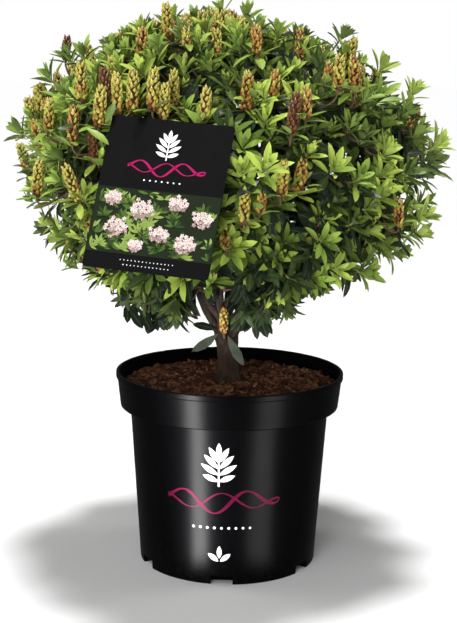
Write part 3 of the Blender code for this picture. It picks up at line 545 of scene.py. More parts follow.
class Shape:
    """Points and faces of one piece while it is put together."""

    def __init__(self):
        self.points = []
        self.faces = []
        self.slots = []
        self.count = 0

    def add(self, points, faces, slot=0):
        self.add_many(np.asarray(points, float)[None], faces, [slot] * len(faces))

    def add_many(self, points, faces, slots):
        """Copies of one form: points is (copies, points each, 3), and faces and slots are one copy's."""
        copies, each = points.shape[:2]
        starts = self.count + np.arange(copies) * each
        for length in sorted({len(face) for face in faces}):
            picked = [i for i, face in enumerate(faces) if len(face) == length]
            block = np.array([faces[i] for i in picked])[None] + starts[:, None, None]
            self.faces += block.reshape(-1, length).tolist()
            self.slots += [slots[i] for i in picked] * copies
        self.points.append(points.reshape(-1, 3))
        self.count += copies * each

    def place(self, form, matrices, slot=0):
        """Copies of a form, which is its points and faces, where the matrices put them."""
        points, faces = form
        matrices = np.array(matrices, float).reshape(-1, 4, 4)
        if len(matrices):
            moved = np.einsum("nij,pj->npi", matrices[:, :3, :3], np.asarray(points, float))
            self.add_many(moved + matrices[:, None, :3, 3], faces, [slot] * len(faces))

    def tube(self, path, radii, sides, slot=0, relief=None):
        """A round limb along the path, closed at its ends; relief gives the bark's swell at a spot."""
        points = []
        ahead = (path[1] - path[0]).normalized()
        across = ahead.orthogonal().normalized()
        for i, (place, radius) in enumerate(zip(path, radii)):
            following = (path[min(i + 1, len(path) - 1)] - path[max(i - 1, 0)]).normalized()
            across = ahead.rotation_difference(following) @ across
            ahead = following
            up = ahead.cross(across)
            for side in range(sides):
                angle = math.tau * side / sides
                swell = relief(place, angle, radius) if relief else 0.0
                points.append(place + (across * math.cos(angle) + up * math.sin(angle)) * (radius + swell))
        points.append(path[0] - (path[1] - path[0]).normalized() * radii[0] * 0.4)
        points.append(path[-1] + ahead * radii[-1] * 0.5)
        foot, tip = len(points) - 2, len(points) - 1
        last = foot - sides
        faces = []
        for i in range(len(path) - 1):
            for side in range(sides):
                a, b = i * sides + side, i * sides + (side + 1) % sides
                faces.append((a, b, b + sides, a + sides))
        for side in range(sides):
            following = (side + 1) % sides
            faces += [(foot, following, side), (tip, last + side, last + following)]
        self.add(rows_of(points), faces, slot)

    def piece(self, name, materials, slot, replaces=(), sharp=60):
        """Turns what was gathered into a piece that rides on the plant, and hides the nodes that it replaces.
        """
        mesh = bpy.data.meshes.new(name)
        mesh.from_pydata(np.concatenate(self.points), [], self.faces)
        for material in materials:
            mesh.materials.append(material)
        mesh.polygons.foreach_set("material_index", self.slots)
        mesh.shade_smooth()
        mesh.set_sharp_from_angle(angle=math.radians(sharp))
        obj = bpy.data.objects.new(name, mesh)
        bpy.context.scene.collection.objects.link(obj)
        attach(obj, ROOT)
        if replaces:
            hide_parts(*replaces)
        return obj


def lathe(profile, steps):
    """Points and faces of a profile of (radius, height) pairs, down its outer side, turned about Z."""
    points, faces, rings = [], [], []
    for radius, height in profile:
        if radius == 0:
            rings.append([len(points)] * steps)
            points.append((0.0, 0.0, height))
            continue
        rings.append([len(points) + i for i in range(steps)])
        for i in range(steps):
            angle = math.tau * i / steps
            points.append((radius * math.cos(angle), radius * math.sin(angle), height))
    for upper, lower in zip(rings, rings[1:]):
        for i in range(steps):
            j = (i + 1) % steps
            corners = [upper[i], lower[i], lower[j], upper[j]]
            faces.append(tuple(dict.fromkeys(corners)))
    return points, faces


def facing(angle):
    return Vector((math.sin(angle), -math.cos(angle), 0.0))


def toward(bearing, elevation):
    return facing(bearing) * math.cos(elevation) + Vector((0, 0, math.sin(elevation)))


def bezier(start, control, end, count):
    points = []
    for i in range(count):
        t = i / (count - 1)
        points.append(start * (1 - t) ** 2 + control * 2 * t * (1 - t) + end * t**2)
    return points


def tapering(first, last, count):
    return [first + (last - first) * i / (count - 1) for i in range(count)]


# Pot and what is printed on it


def wall_radius(height):
    return BASE_RADIUS + (BODY_TOP_RADIUS - BASE_RADIUS) * height / BODY_TOP


def eased(profile, size):
    """The profile with each corner rounded, and a spot on either side that keeps the walls flat."""
    spots = [Vector(spot) for spot in profile]
    rounded = [spots[0]]
    for before, corner, after in zip(spots, spots[1:], spots[2:]):
        near, far = before - corner, after - corner
        near *= min(size, near.length * 0.3) / near.length
        far *= min(size, far.length * 0.3) / far.length
        arc = bezier(corner + near, corner, corner + far, 4)
        rounded += [corner + near * 1.5, *arc, corner + far * 1.5]
    return [tuple(spot) for spot in (*rounded, spots[-1])]


def pot_profile():
    """The pot's inside from its floor to the rim, then its outside down to the foot."""
    lip_foot = POT_HEIGHT - LIP_DEPTH
    profile = [
        (0, POT_FLOOR),
        (wall_radius(POT_FLOOR) - POT_WALL, POT_FLOOR),
        (BODY_TOP_RADIUS - POT_WALL, BODY_TOP + POT_WALL),
        (SKIRT_RADIUS - POT_WALL, SKIRT_FOOT + POT_WALL),
        (LIP_RADIUS - LIP_STEP - POT_WALL, POT_HEIGHT),
        (LIP_RADIUS, POT_HEIGHT),
        (LIP_RADIUS, lip_foot),
        (LIP_RADIUS - LIP_STEP, lip_foot),
        (SKIRT_RADIUS, SKIRT_FOOT),
        (BODY_TOP_RADIUS, BODY_TOP),
        (BASE_RADIUS, 0),
        (0, 0),
    ]
    return eased(profile, POT_EDGE)


def on_pot(across, height, lift):
    """A spot on the pot's wall: a distance round it from the print's middle, a height and a lift off it."""
    radius = wall_radius(height)
    return facing(PRINT_BEARING + across / radius) * (radius + lift) + Vector((0, 0, height))


class Print:
    """Thin raised ink: strips of a flat design laid on a surface."""

    def __init__(self, surface, thick):
        self.shape = Shape()
        self.surface = surface
        self.thick = thick

    def strip(self, rows, slot, layer=0):
        """A strip of the design between the left and right points of each row."""
        points = []
        top = self.thick * (1 + layer)
        for left, right in rows:
            for x, y in (left, right):
                points += [self.surface(x, y, top), self.surface(x, y, -INK_SUNK)]
        faces = []
        for i in range(len(rows) - 1):
            a, b = 4 * i, 4 * i + 4
            faces += [(a, a + 2, b + 2, b), (a + 3, a + 1, b + 1, b + 3)]
            faces += [(a + 1, a, b, b + 1), (a + 2, a + 3, b + 3, b + 2)]
        end = 4 * (len(rows) - 1)
        faces += [(0, 1, 3, 2), (end, end + 2, end + 3, end + 1)]
        self.shape.add(rows_of(points), faces, slot)

    def leaf(self, foot, angle, length, width, slot, layer=0, steps=7):
        """A leaf or petal from its foot, at an angle from straight up."""
        right, up = math.sin(angle), math.cos(angle)
        rows = []
        for i in range(steps):
            t = i / (steps - 1)
            half = max(0.02, math.sin(math.pi * t) ** 0.8) * width / 2
            x, y = foot[0] + right * length * t, foot[1] + up * length * t
            rows.append(((x - up * half, y + right * half), (x + up * half, y - right * half)))
        self.strip(rows, slot, layer)

    def line(self, spots, widths, slot, layer=0):
        rows = []
        for i, (x, y) in enumerate(spots):
            (x0, y0), (x1, y1) = spots[max(i - 1, 0)], spots[min(i + 1, len(spots) - 1)]
            half = widths[i] / 2 / math.hypot(x1 - x0, y1 - y0)
            dx, dy = (x1 - x0) * half, (y1 - y0) * half
            rows.append(((x - dy, y + dx), (x + dy, y - dx)))
        self.strip(rows, slot, layer)

    def dot(self, x, y, radius, slot, layer=0):
        self.leaf((x, y - radius), 0.0, 2 * radius, 2 * radius, slot, layer, steps=8)

    def dots(self, count, step, y, radius, slot):
        for i in range(count):
            self.dot((i - (count - 1) / 2) * step, y, radius, slot)

    def sprig(self, x, y, height, slot):
        """A sprig of plain leaves in pairs up a stem, and one at its top."""
        foot, width = y - height / 2, height * 0.125
        self.line([(x, foot), (x, foot + height * 0.72)], [height * 0.035] * 2, slot)
        for share, angle, length in ((0.12, 68, 0.38), (0.27, 58, 0.46), (0.42, 46, 0.45), (0.57, 32, 0.40)):
            for side in (-1, 1):
                start = (x + side * height * 0.01, foot + height * share)
                self.leaf(start, side * math.radians(angle), height * length, width, slot)
        self.leaf((x, foot + height * 0.66), 0.0, height * 0.36, width, slot)

    def ribbons(self, x, y, width, swing, stroke, slot):
        """Two crossing wavy ribbons, thick and thin by turns."""
        waves, steps = 1.75, 60
        for phase, share, high in ((0.0, 1.0, 1.0), (2.4, 0.62, 0.7)):
            spots, widths = [], []
            for i in range(steps + 1):
                t = i / steps
                angle = math.tau * waves * t + phase
                fade = math.sin(math.pi * min(1.0, 0.08 + t * 0.92)) ** 0.5
                spots.append((x + (t - 0.5) * width, y + swing * math.sin(angle) * fade * high))
                widths.append(stroke * share * (0.35 + 0.65 * abs(math.cos(angle))))
            self.line(spots, widths, slot)


class RHODODENDRON_OT_pot(bpy.types.Operator):
    """Turn the pot, cut its foot notches and print its front"""

    bl_idname = "rhododendron.pot"
    bl_label = "Pot"

    def execute(self, context):
        pot = context.scene.rhododendron_pot
        points, faces = lathe(pot_profile(), pot.steps)
        shape = Shape()
        shape.add(points, faces)
        wall = shape.piece("pot_wall", [pot_finish(pot.plastic)], "pot", ["pot"], sharp=32)
        self.cut_notches(wall)
        # The pot's magenta ink darkened to a share of the setting: painted shade
        magenta = shade(pot.magenta, POT_MAGENTA_SHADE)
        inks = [ink_finish("pot_ink_white", pot.white), ink_finish("pot_ink_magenta", magenta)]
        art = Print(on_pot, POT_INK)
        art.sprig(*POT_SPRIG, WHITE)
        art.ribbons(*POT_RIBBONS, MAGENTA)
        art.dots(*POT_DOTS, WHITE)
        for side in (-1, 1):
            foot = (SPROUT_ACROSS + side * 0.0008, SPROUT_HEIGHT)
            art.leaf(foot, side * math.radians(52), SPROUT_LEAF, 0.0050, WHITE)
        art.leaf((SPROUT_ACROSS, SPROUT_HEIGHT + 0.0030), 0.0, SPROUT_LEAF, 0.0046, WHITE)
        art.shape.piece("pot_print", inks, "pot")
        return {"FINISHED"}

    def cut_notches(self, wall):
        """Cuts the drainage notches out of the foot with one Boolean, and applies it."""
        shape = bmesh.new()
        inner, outer = BASE_RADIUS - NOTCH_REACH, BASE_RADIUS + NOTCH_OVER
        for i in range(NOTCH_COUNT):
            bearing = NOTCH_BEARING + math.tau * i / NOTCH_COUNT
            middle = facing(bearing) * (inner + outer) / 2 + Vector((0, 0, (NOTCH_HEIGHT - NOTCH_UNDER) / 2))
            box = Matrix.Diagonal((NOTCH_WIDTH, outer - inner, NOTCH_HEIGHT + NOTCH_UNDER, 1.0))
            turned = Matrix.Translation(middle) @ Matrix.Rotation(bearing, 4, "Z") @ box
            bmesh.ops.create_cube(shape, size=1.0, matrix=turned)
        mesh = bpy.data.meshes.new("notches")
        shape.to_mesh(mesh)
        shape.free()
        cutter = bpy.data.objects.new("notches", mesh)
        bpy.context.scene.collection.objects.link(cutter)
        cut = wall.modifiers.new("notches", "BOOLEAN")
        cut.solver = "EXACT"
        cut.object = cutter
        apply_modifiers(wall, sharp=32)
        bpy.data.objects.remove(cutter)


def apply_modifiers(obj, sharp):
    """Keeps the mesh as the modifiers leave it, and shades it smooth up to an angle."""
    bpy.context.view_layer.update()
    graph = bpy.context.evaluated_depsgraph_get()
    mesh = bpy.data.meshes.new_from_object(obj.evaluated_get(graph), depsgraph=graph)
    obj.modifiers.clear()
    mesh.shade_smooth()
    mesh.set_sharp_from_angle(angle=math.radians(sharp))
    obj.data = mesh


# Compost


def chip_form(rng):
    """One flake of bark: a flattened, bent and chipped block."""
    points = []
    for z in (-0.5, 0.5):
        for x, y in ((-0.5, -0.4), (0.1, -0.5), (0.5, -0.2), (0.45, 0.4), (-0.1, 0.5), (-0.5, 0.25)):
            lean = rng.uniform(-0.12, 0.12)
            points.append((x + lean, y + rng.uniform(-0.12, 0.12), z * rng.uniform(0.6, 1.1) + 0.35 * x * x))
    faces = [(5, 4, 3, 2, 1, 0), (6, 7, 8, 9, 10, 11)]
    faces += [(i, (i + 1) % 6, 6 + (i + 1) % 6, 6 + i) for i in range(6)]
    return points, faces


def compost_height(x, y, edge):
    radius = math.hypot(x, y)
    slope = COMPOST_MIDDLE + (COMPOST_EDGE - COMPOST_MIDDLE) * min(1.0, radius / edge) ** 1.5
    return slope + sum(noise.noise(Vector((x, y, z)) * fine) * high for z, fine, high in COMPOST_LUMPS)


class RHODODENDRON_OT_compost(bpy.types.Operator):
    """Fill the pot with damp compost and strew it with flakes of bark"""

    bl_idname = "rhododendron.compost"
    bl_label = "Compost"

    def execute(self, context):
        tint = tuple(context.scene.rhododendron_pot.compost)
        rise = (COMPOST_EDGE - SKIRT_FOOT) / (POT_HEIGHT - SKIRT_FOOT)
        edge = SKIRT_RADIUS - POT_WALL + (LIP_RADIUS - LIP_STEP - SKIRT_RADIUS) * rise - COMPOST_CLEAR
        self.fill(tint, edge)
        self.strew(tint, edge)
        return {"FINISHED"}

    def fill(self, tint, edge):
        """The filling, a little clear of the pot all the way down."""
        profile = [(0, COMPOST_MIDDLE)]
        profile += [(edge * i / COMPOST_RINGS, COMPOST_EDGE) for i in range(1, COMPOST_RINGS + 1)]
        inner = POT_WALL + COMPOST_CLEAR
        profile += [
            (SKIRT_RADIUS - inner, SKIRT_FOOT + inner),
            (BODY_TOP_RADIUS - inner, BODY_TOP + inner),
            (wall_radius(COMPOST_FOOT) - inner, COMPOST_FOOT),
            (0, COMPOST_FOOT),
        ]
        points, faces = lathe(profile, COMPOST_STEPS)
        for i in range(1 + COMPOST_RINGS * COMPOST_STEPS):
            x, y, _ = points[i]
            points[i] = (x, y, compost_height(x, y, edge))
        shape = Shape()
        shape.add(points, faces)
        finish = chip_finish("compost_bed", shade(tint, 0.55))
        shape.piece("compost_bed", [finish], "compost", ["compost"], sharp=50)

    def strew(self, tint, edge):
        """Loose flakes on the filling, some of them larger, and none against the trunk."""
        rng = random.Random(7)
        flakes = Shape()
        forms = [chip_form(rng) for _ in range(FLAKE_FORMS)]
        tints = [shade(tint, 0.45), tint, shade(tint, 1.45), PALE_FLAKE]
        for i in range(FLAKE_COUNT):
            radius = edge * FLAKE_SPREAD * math.sqrt(rng.random())
            bearing = rng.uniform(0, math.tau)
            x, y = radius * math.cos(bearing), radius * math.sin(bearing)
            if math.hypot(x - TRUNK_FOOT.x, y) < TRUNK_ROOM:
                continue
            length = rng.uniform(FLAKE_SHORT, FLAKE_LONG) * (1.0 if i % 11 else 1.5)
            wide, thick = length * rng.uniform(0.35, 0.75), length * rng.uniform(0.16, 0.34)
            lean = Matrix.Rotation(rng.gauss(0, 0.35), 4, "X") @ Matrix.Rotation(rng.gauss(0, 0.35), 4, "Y")
            turn = Matrix.Rotation(rng.uniform(0, math.tau), 4, "Z")
            where = Matrix.Translation((x, y, compost_height(x, y, edge) + length * 0.05))
            where.translation.xy *= min(1.0, (edge - length / 2 - COMPOST_CLEAR) / max(radius, 1e-6))
            kind = rng.choices(range(4), weights=(4, 6, 3, 1))[0]
            spot = where @ (turn @ lean @ Matrix.Diagonal((length, wide, thick, 1)))
            flakes.place(forms[i % FLAKE_FORMS], [spot], kind)
        finishes = [chip_finish(f"bark_flake_{i + 1}", t) for i, t in enumerate(tints)]
        flakes.piece("bark_flakes", finishes, "compost", sharp=35)


# The head's outline, its masses and the limbs, by the same rule as the solids


def reach(elevation):
    high, power = (RISE, RISE_POWER) if elevation > 0 else (FALL, FALL_POWER)
    flat = (math.cos(elevation) / SPREAD) ** power
    steep = (abs(math.sin(elevation)) / high) ** power
    return (flat + steep) ** (-1 / power)


def polar(point):
    """Bearing and elevation of a point seen from the head's middle, and its depth below the outline."""
    offset = point - MIDDLE
    distance = max(offset.length, 1e-9)
    elevation = math.asin(max(-1.0, min(1.0, offset.z / distance)))
    return math.atan2(offset.x, -offset.y), elevation, reach(elevation) - distance


def under(bearing, elevation, depth):
    return MIDDLE + toward(bearing, elevation) * (reach(elevation) - depth)


def make_spaces():
    """Each mass's name, bearing, half width, lowest and highest elevation."""
    spaces = [("foliage_top", 0.0, math.pi, TOP_EDGE, math.pi / 2)]
    for i in range(UPPER_COUNT):
        bearing = FIRST_BEARING + math.tau * i / UPPER_COUNT
        spaces.append((f"foliage_upper_{i + 1}", bearing, math.pi / UPPER_COUNT, BELT_EDGE, TOP_EDGE))
    for i in range(LOWER_COUNT):
        bearing = FIRST_BEARING + math.tau * (i + 0.5) / LOWER_COUNT
        spaces.append((f"foliage_lower_{i + 1}", bearing, math.pi / LOWER_COUNT, LOW_EDGE, BELT_EDGE))
    return spaces


SPACES = make_spaces()
MASSES = [space[0] for space in SPACES]


def space_of(bearing, elevation):
    """Which mass a direction belongs to."""
    for i, (_, middle, half, low, high) in enumerate(SPACES):
        if low <= elevation < high + 1e-6 and abs(math.remainder(bearing - middle, math.tau)) <= half:
            return i
    return None


def bough_control(start, end, lift):
    out = Vector((end.x - start.x, end.y - start.y, 0))
    return start + out * (1 - lift) + Vector((0, 0, (end.z - start.z) * lift))


def bough_lines():
    """Each bough's CAD node, smooth path, first and last radius, in the order of the masses they carry."""
    end = under(0, math.pi / 2, BOUGH_DEPTH)
    middle = TRUNK_FORK.lerp(end, 0.5) + Vector((0.006, 0.004, 0))
    lines = [("leader", bezier(TRUNK_FORK, middle, end, BOUGH_STEPS), LEADER_RADIUS, MAIN_TIP)]
    for i in range(UPPER_COUNT):
        bearing = SPACES[1 + i][1]
        start = TRUNK_FORK + facing(bearing) * FORK_RING
        start.z += FORK_STAGGER * (2 * i % UPPER_COUNT - 2)
        end = under(bearing, MAIN_RISE, BOUGH_DEPTH)
        path = bezier(start, bough_control(start, end, MAIN_LIFT), end, BOUGH_STEPS)
        lines.append((f"main_bough_{i + 1}", path, MAIN_RADIUS, MAIN_TIP))
    for i in range(LOWER_COUNT):
        bearing = SPACES[1 + UPPER_COUNT + i][1]
        turns = [abs(math.remainder(bearing - SPACES[1 + j][1], math.tau)) for j in range(UPPER_COUNT)]
        carrier = lines[1 + turns.index(min(turns))][1]
        start = carrier[(BOUGH_STEPS - 1) * (1 + i % 2) // 5]
        end = under(bearing, SIDE_RISE, SIDE_DEPTH)
        path = bezier(start, bough_control(start, end, SIDE_LIFT), end, BOUGH_STEPS)
        lines.append((f"side_bough_{i + 1}", path, SIDE_RADIUS, SIDE_TIP))
    return lines


def bark_relief(depth):
    """Bark that is ridged along the limb and lumpy at old leaf scars."""

    def raised(place, angle, radius):
        x, y = math.cos(angle), math.sin(angle)
        ridges = 1 - abs(noise.noise(Vector((x * 1.6, y * 1.6, place.z * 38)) * 1.9)) * 2.4
        knots = noise.noise(Vector((x * 0.7, y * 0.7, place.z * 85 + place.x * 40)))
        return depth * (ridges * 0.65 + knots * 0.9) * radius

    return raised


class RHODODENDRON_OT_limbs(bpy.types.Operator):
    """Grow the trunk and boughs with their bark in relief"""

    bl_idname = "rhododendron.limbs"
    bl_label = "Trunk and boughs"

    def execute(self, context):
        bark = bark_finish(context.scene.rhododendron_colours.bark)
        trunk, boughs = Shape(), Shape()
        path, radii = [], []
        lean, rise = TRUNK_FORK.x - TRUNK_FOOT.x, TRUNK_FORK.z - TRUNK_FOOT.z
        for i in range(TRUNK_STEPS):
            h = i / (TRUNK_STEPS - 1) * (rise + TRUNK_HEAD) - TRUNK_SUNK
            share = min(1.0, max(0.0, h / rise))
            path.append(Vector((TRUNK_FOOT.x + lean * share**2, 0, TRUNK_FOOT.z + h)))
            flare = (FLARE_RADIUS - TRUNK_RADIUS) * math.exp(-max(0.0, h) / FLARE_DROP)
            head = (HEAD_RADIUS - TRUNK_RADIUS) * math.exp(-(((h - SWELL_HEIGHT) / SWELL_SPREAD) ** 2))
            closing = math.sqrt(max(0.04, 1 - max(0.0, (h - CLOSE_HEIGHT) / CLOSE_SPREAD) ** 2))
            radii.append((TRUNK_RADIUS + flare + head) * closing)
        trunk.tube(path, radii, 40, relief=bark_relief(0.13))
        trunk.piece("trunk_bark", [bark], "bark", ["trunk"], sharp=80)
        lines = bough_lines()
        for _, line, first, last in lines:
            radii = tapering(first * SLIM, last, len(line))
            swollen = [r * (1 + 0.35 * math.exp(-i / 3)) for i, r in enumerate(radii)]
            boughs.tube(line, swollen, 14, relief=bark_relief(0.16))
        boughs.piece("boughs_bark", [bark], "bark", [name for name, *_ in lines], sharp=80)
        return {"FINISHED"}


# Foliage


def label_matrix():
    turn = Matrix.Rotation(LABEL_TURN[2], 4, "Z") @ Matrix.Rotation(LABEL_TURN[1], 4, "Y")
    return Matrix.Translation(LABEL_MIDDLE) @ turn @ Matrix.Rotation(LABEL_TURN[0], 4, "X")


LABEL_PLACE = label_matrix()
LABEL_BACK = LABEL_PLACE.inverted()
LABEL_SIDE = LABEL_BACK.to_3x3() @ LABEL_SIGHT


def label_room(point):
    """How far a point is from the label and from the clear space on the side that it is read from."""
    local = LABEL_BACK @ point
    forward = max(0.0, -local.y)
    shift = LABEL_SIDE * (forward / -LABEL_SIDE.y)
    beside = max(abs(local.x - shift.x) - LABEL_WIDTH / 2, abs(local.z - shift.z) - LABEL_HEIGHT / 2)
    return max(beside, local.y - LABEL_THICK / 2, -LABEL_FRONT - local.y)


def in_gap(point):
    """Whether a point hides the sky that shows beside the trunk's head."""
    share = EYE.y / (EYE.y - point.y)
    x, z = EYE.x + (point.x - EYE.x) * share, EYE.z + (point.z - EYE.z) * share
    return any(left < x < right and low < z < high for left, right, low, high in SKY_GAPS)


def shoot_heading(point, light):
    """Shoots point outwards and turn up towards the light, save for those that hang under the head."""
    bearing, elevation, _ = polar(point)
    if elevation <= SHOOTS_HANG:
        light = -0.1
    return (toward(bearing, elevation) + Vector((0, 0, light))).normalized()


def swell(bearing, elevation):
    """How far the head stands out past its plain outline: it leans to one side and is lumpy."""
    spot = toward(bearing, elevation)
    grown = -LEAN * math.sin(bearing) * math.sqrt(max(0.0, math.sin(2 * elevation)))
    grown += LUMPINESS * noise.noise(spot * 5.2 + Vector((2.7, 8.1, 3.3)))
    for *direction, width, height in LUMPS:
        away = spot.angle(toward(*map(math.radians, direction)))
        grown += height * math.exp(-((away / math.radians(width)) ** 2))
    return grown


def hollow(bearing, elevation):
    """How deep the head's surface sinks between clumps of shoots, from 0 to 1."""
    spot = toward(bearing, elevation)
    broad = noise.noise(spot * 3.1 + Vector((4.1, 0.7, 2.2)))
    narrow = noise.noise(spot * 7.5 + Vector((1.3, 5.2, 0.4)))
    *niche, spread = map(math.radians, NICHE)
    own = max(0.0, 1 - spot.angle(toward(*niche)) / spread)
    return min(1.0, max(0.0, 0.9 * broad + 0.7 * narrow + 0.05) * 1.3 + own * 1.4)


def leaf_blades(gathered, thick):
    """Every leaf gathered as a closed blade: its upper skin, a raised midrib strip and its lower skin."""
    rows = np.array(gathered, float)
    base, heading, face = rows[:, 0:3], rows[:, 3:6], rows[:, 6:9]
    length, width, curl, fold = (rows[:, i, None, None] for i in (9, 10, 11, 12))
    heading /= np.linalg.norm(heading, axis=1, keepdims=True)
    face -= heading * (face * heading).sum(1, keepdims=True)
    face /= np.linalg.norm(face, axis=1, keepdims=True)
    across = np.cross(heading, face)
    t, half = (np.array(row)[None, :, None] for row in zip(*STATIONS))
    half = half * width / 2
    base, heading, face, across = (v[:, None, :] for v in (base, heading, face, across))
    bend = curl * t
    centre = base + heading * length * np.sin(bend) / curl - face * length * (1 - np.cos(bend)) / curl
    normal = face * np.cos(bend) + heading * np.sin(bend)
    tip = base + heading * length * np.sin(curl) / curl - face * length * (1 - np.cos(curl)) / curl
    side, rise = across * np.cos(fold), np.sin(fold)
    rib = np.minimum(half * 0.5, width * 0.032)
    left = centre - side * half + normal * half * rise
    right = centre + side * half + normal * half * rise
    rib_left = centre - side * rib + normal * (rib * rise + thick / 2)
    rib_right = centre + side * rib + normal * (rib * rise + thick / 2)
    low = centre - normal * thick / 2
    points = np.concatenate([base, tip, left, right, rib_left, rib_right, low], axis=1)
    count = len(STATIONS)
    l0, r0, a0, b0, m0 = (2 + count * i for i in range(5))
    faces, slots = [], []

    def face_of(slot, *corners):
        faces.append(corners)
        slots.append(slot)

    for i in range(count - 1):
        j = i + 1
        face_of(0, l0 + i, a0 + i, a0 + j, l0 + j)
        face_of(1, a0 + i, b0 + i, b0 + j, a0 + j)
        face_of(0, b0 + i, r0 + i, r0 + j, b0 + j)
        face_of(2, r0 + i, m0 + i, m0 + j, r0 + j)
        face_of(2, m0 + i, l0 + i, l0 + j, m0 + j)
    for slot, a, b in ((0, a0, l0), (1, b0, a0), (0, r0, b0), (2, l0, m0), (2, m0, r0)):
        face_of(slot, 0, a, b)
        face_of(slot, b + count - 1, a + count - 1, 1)
    return points, faces, slots


def drop_form():
    """A bud scale: a pointed drop along +Z, one unit long, wide and thick."""
    ring = [(math.cos(math.tau * i / 5) / 2, math.sin(math.tau * i / 5) / 2, -0.12) for i in range(5)]
    points = [(0, 0, -0.5), *ring, (0, 0, 0.5)]
    faces = [(0, 1 + (i + 1) % 5, 1 + i) for i in range(5)] + [(6, 1 + i, 1 + (i + 1) % 5) for i in range(5)]
    return points, faces


def bud_girth(share):
    """A bud's radius along its length, as a share of the greatest."""
    return min(1.0, 0.55 + share * 2.6) * math.sqrt(max(0.0, 1 - max(0.0, (share - 0.45) / 0.56) ** 2.6))


def square_to(axis, turn):
    """A direction square to the axis, this far round it."""
    return axis.to_track_quat("Z", "Y").to_matrix() @ Vector((math.cos(turn), math.sin(turn), 0))


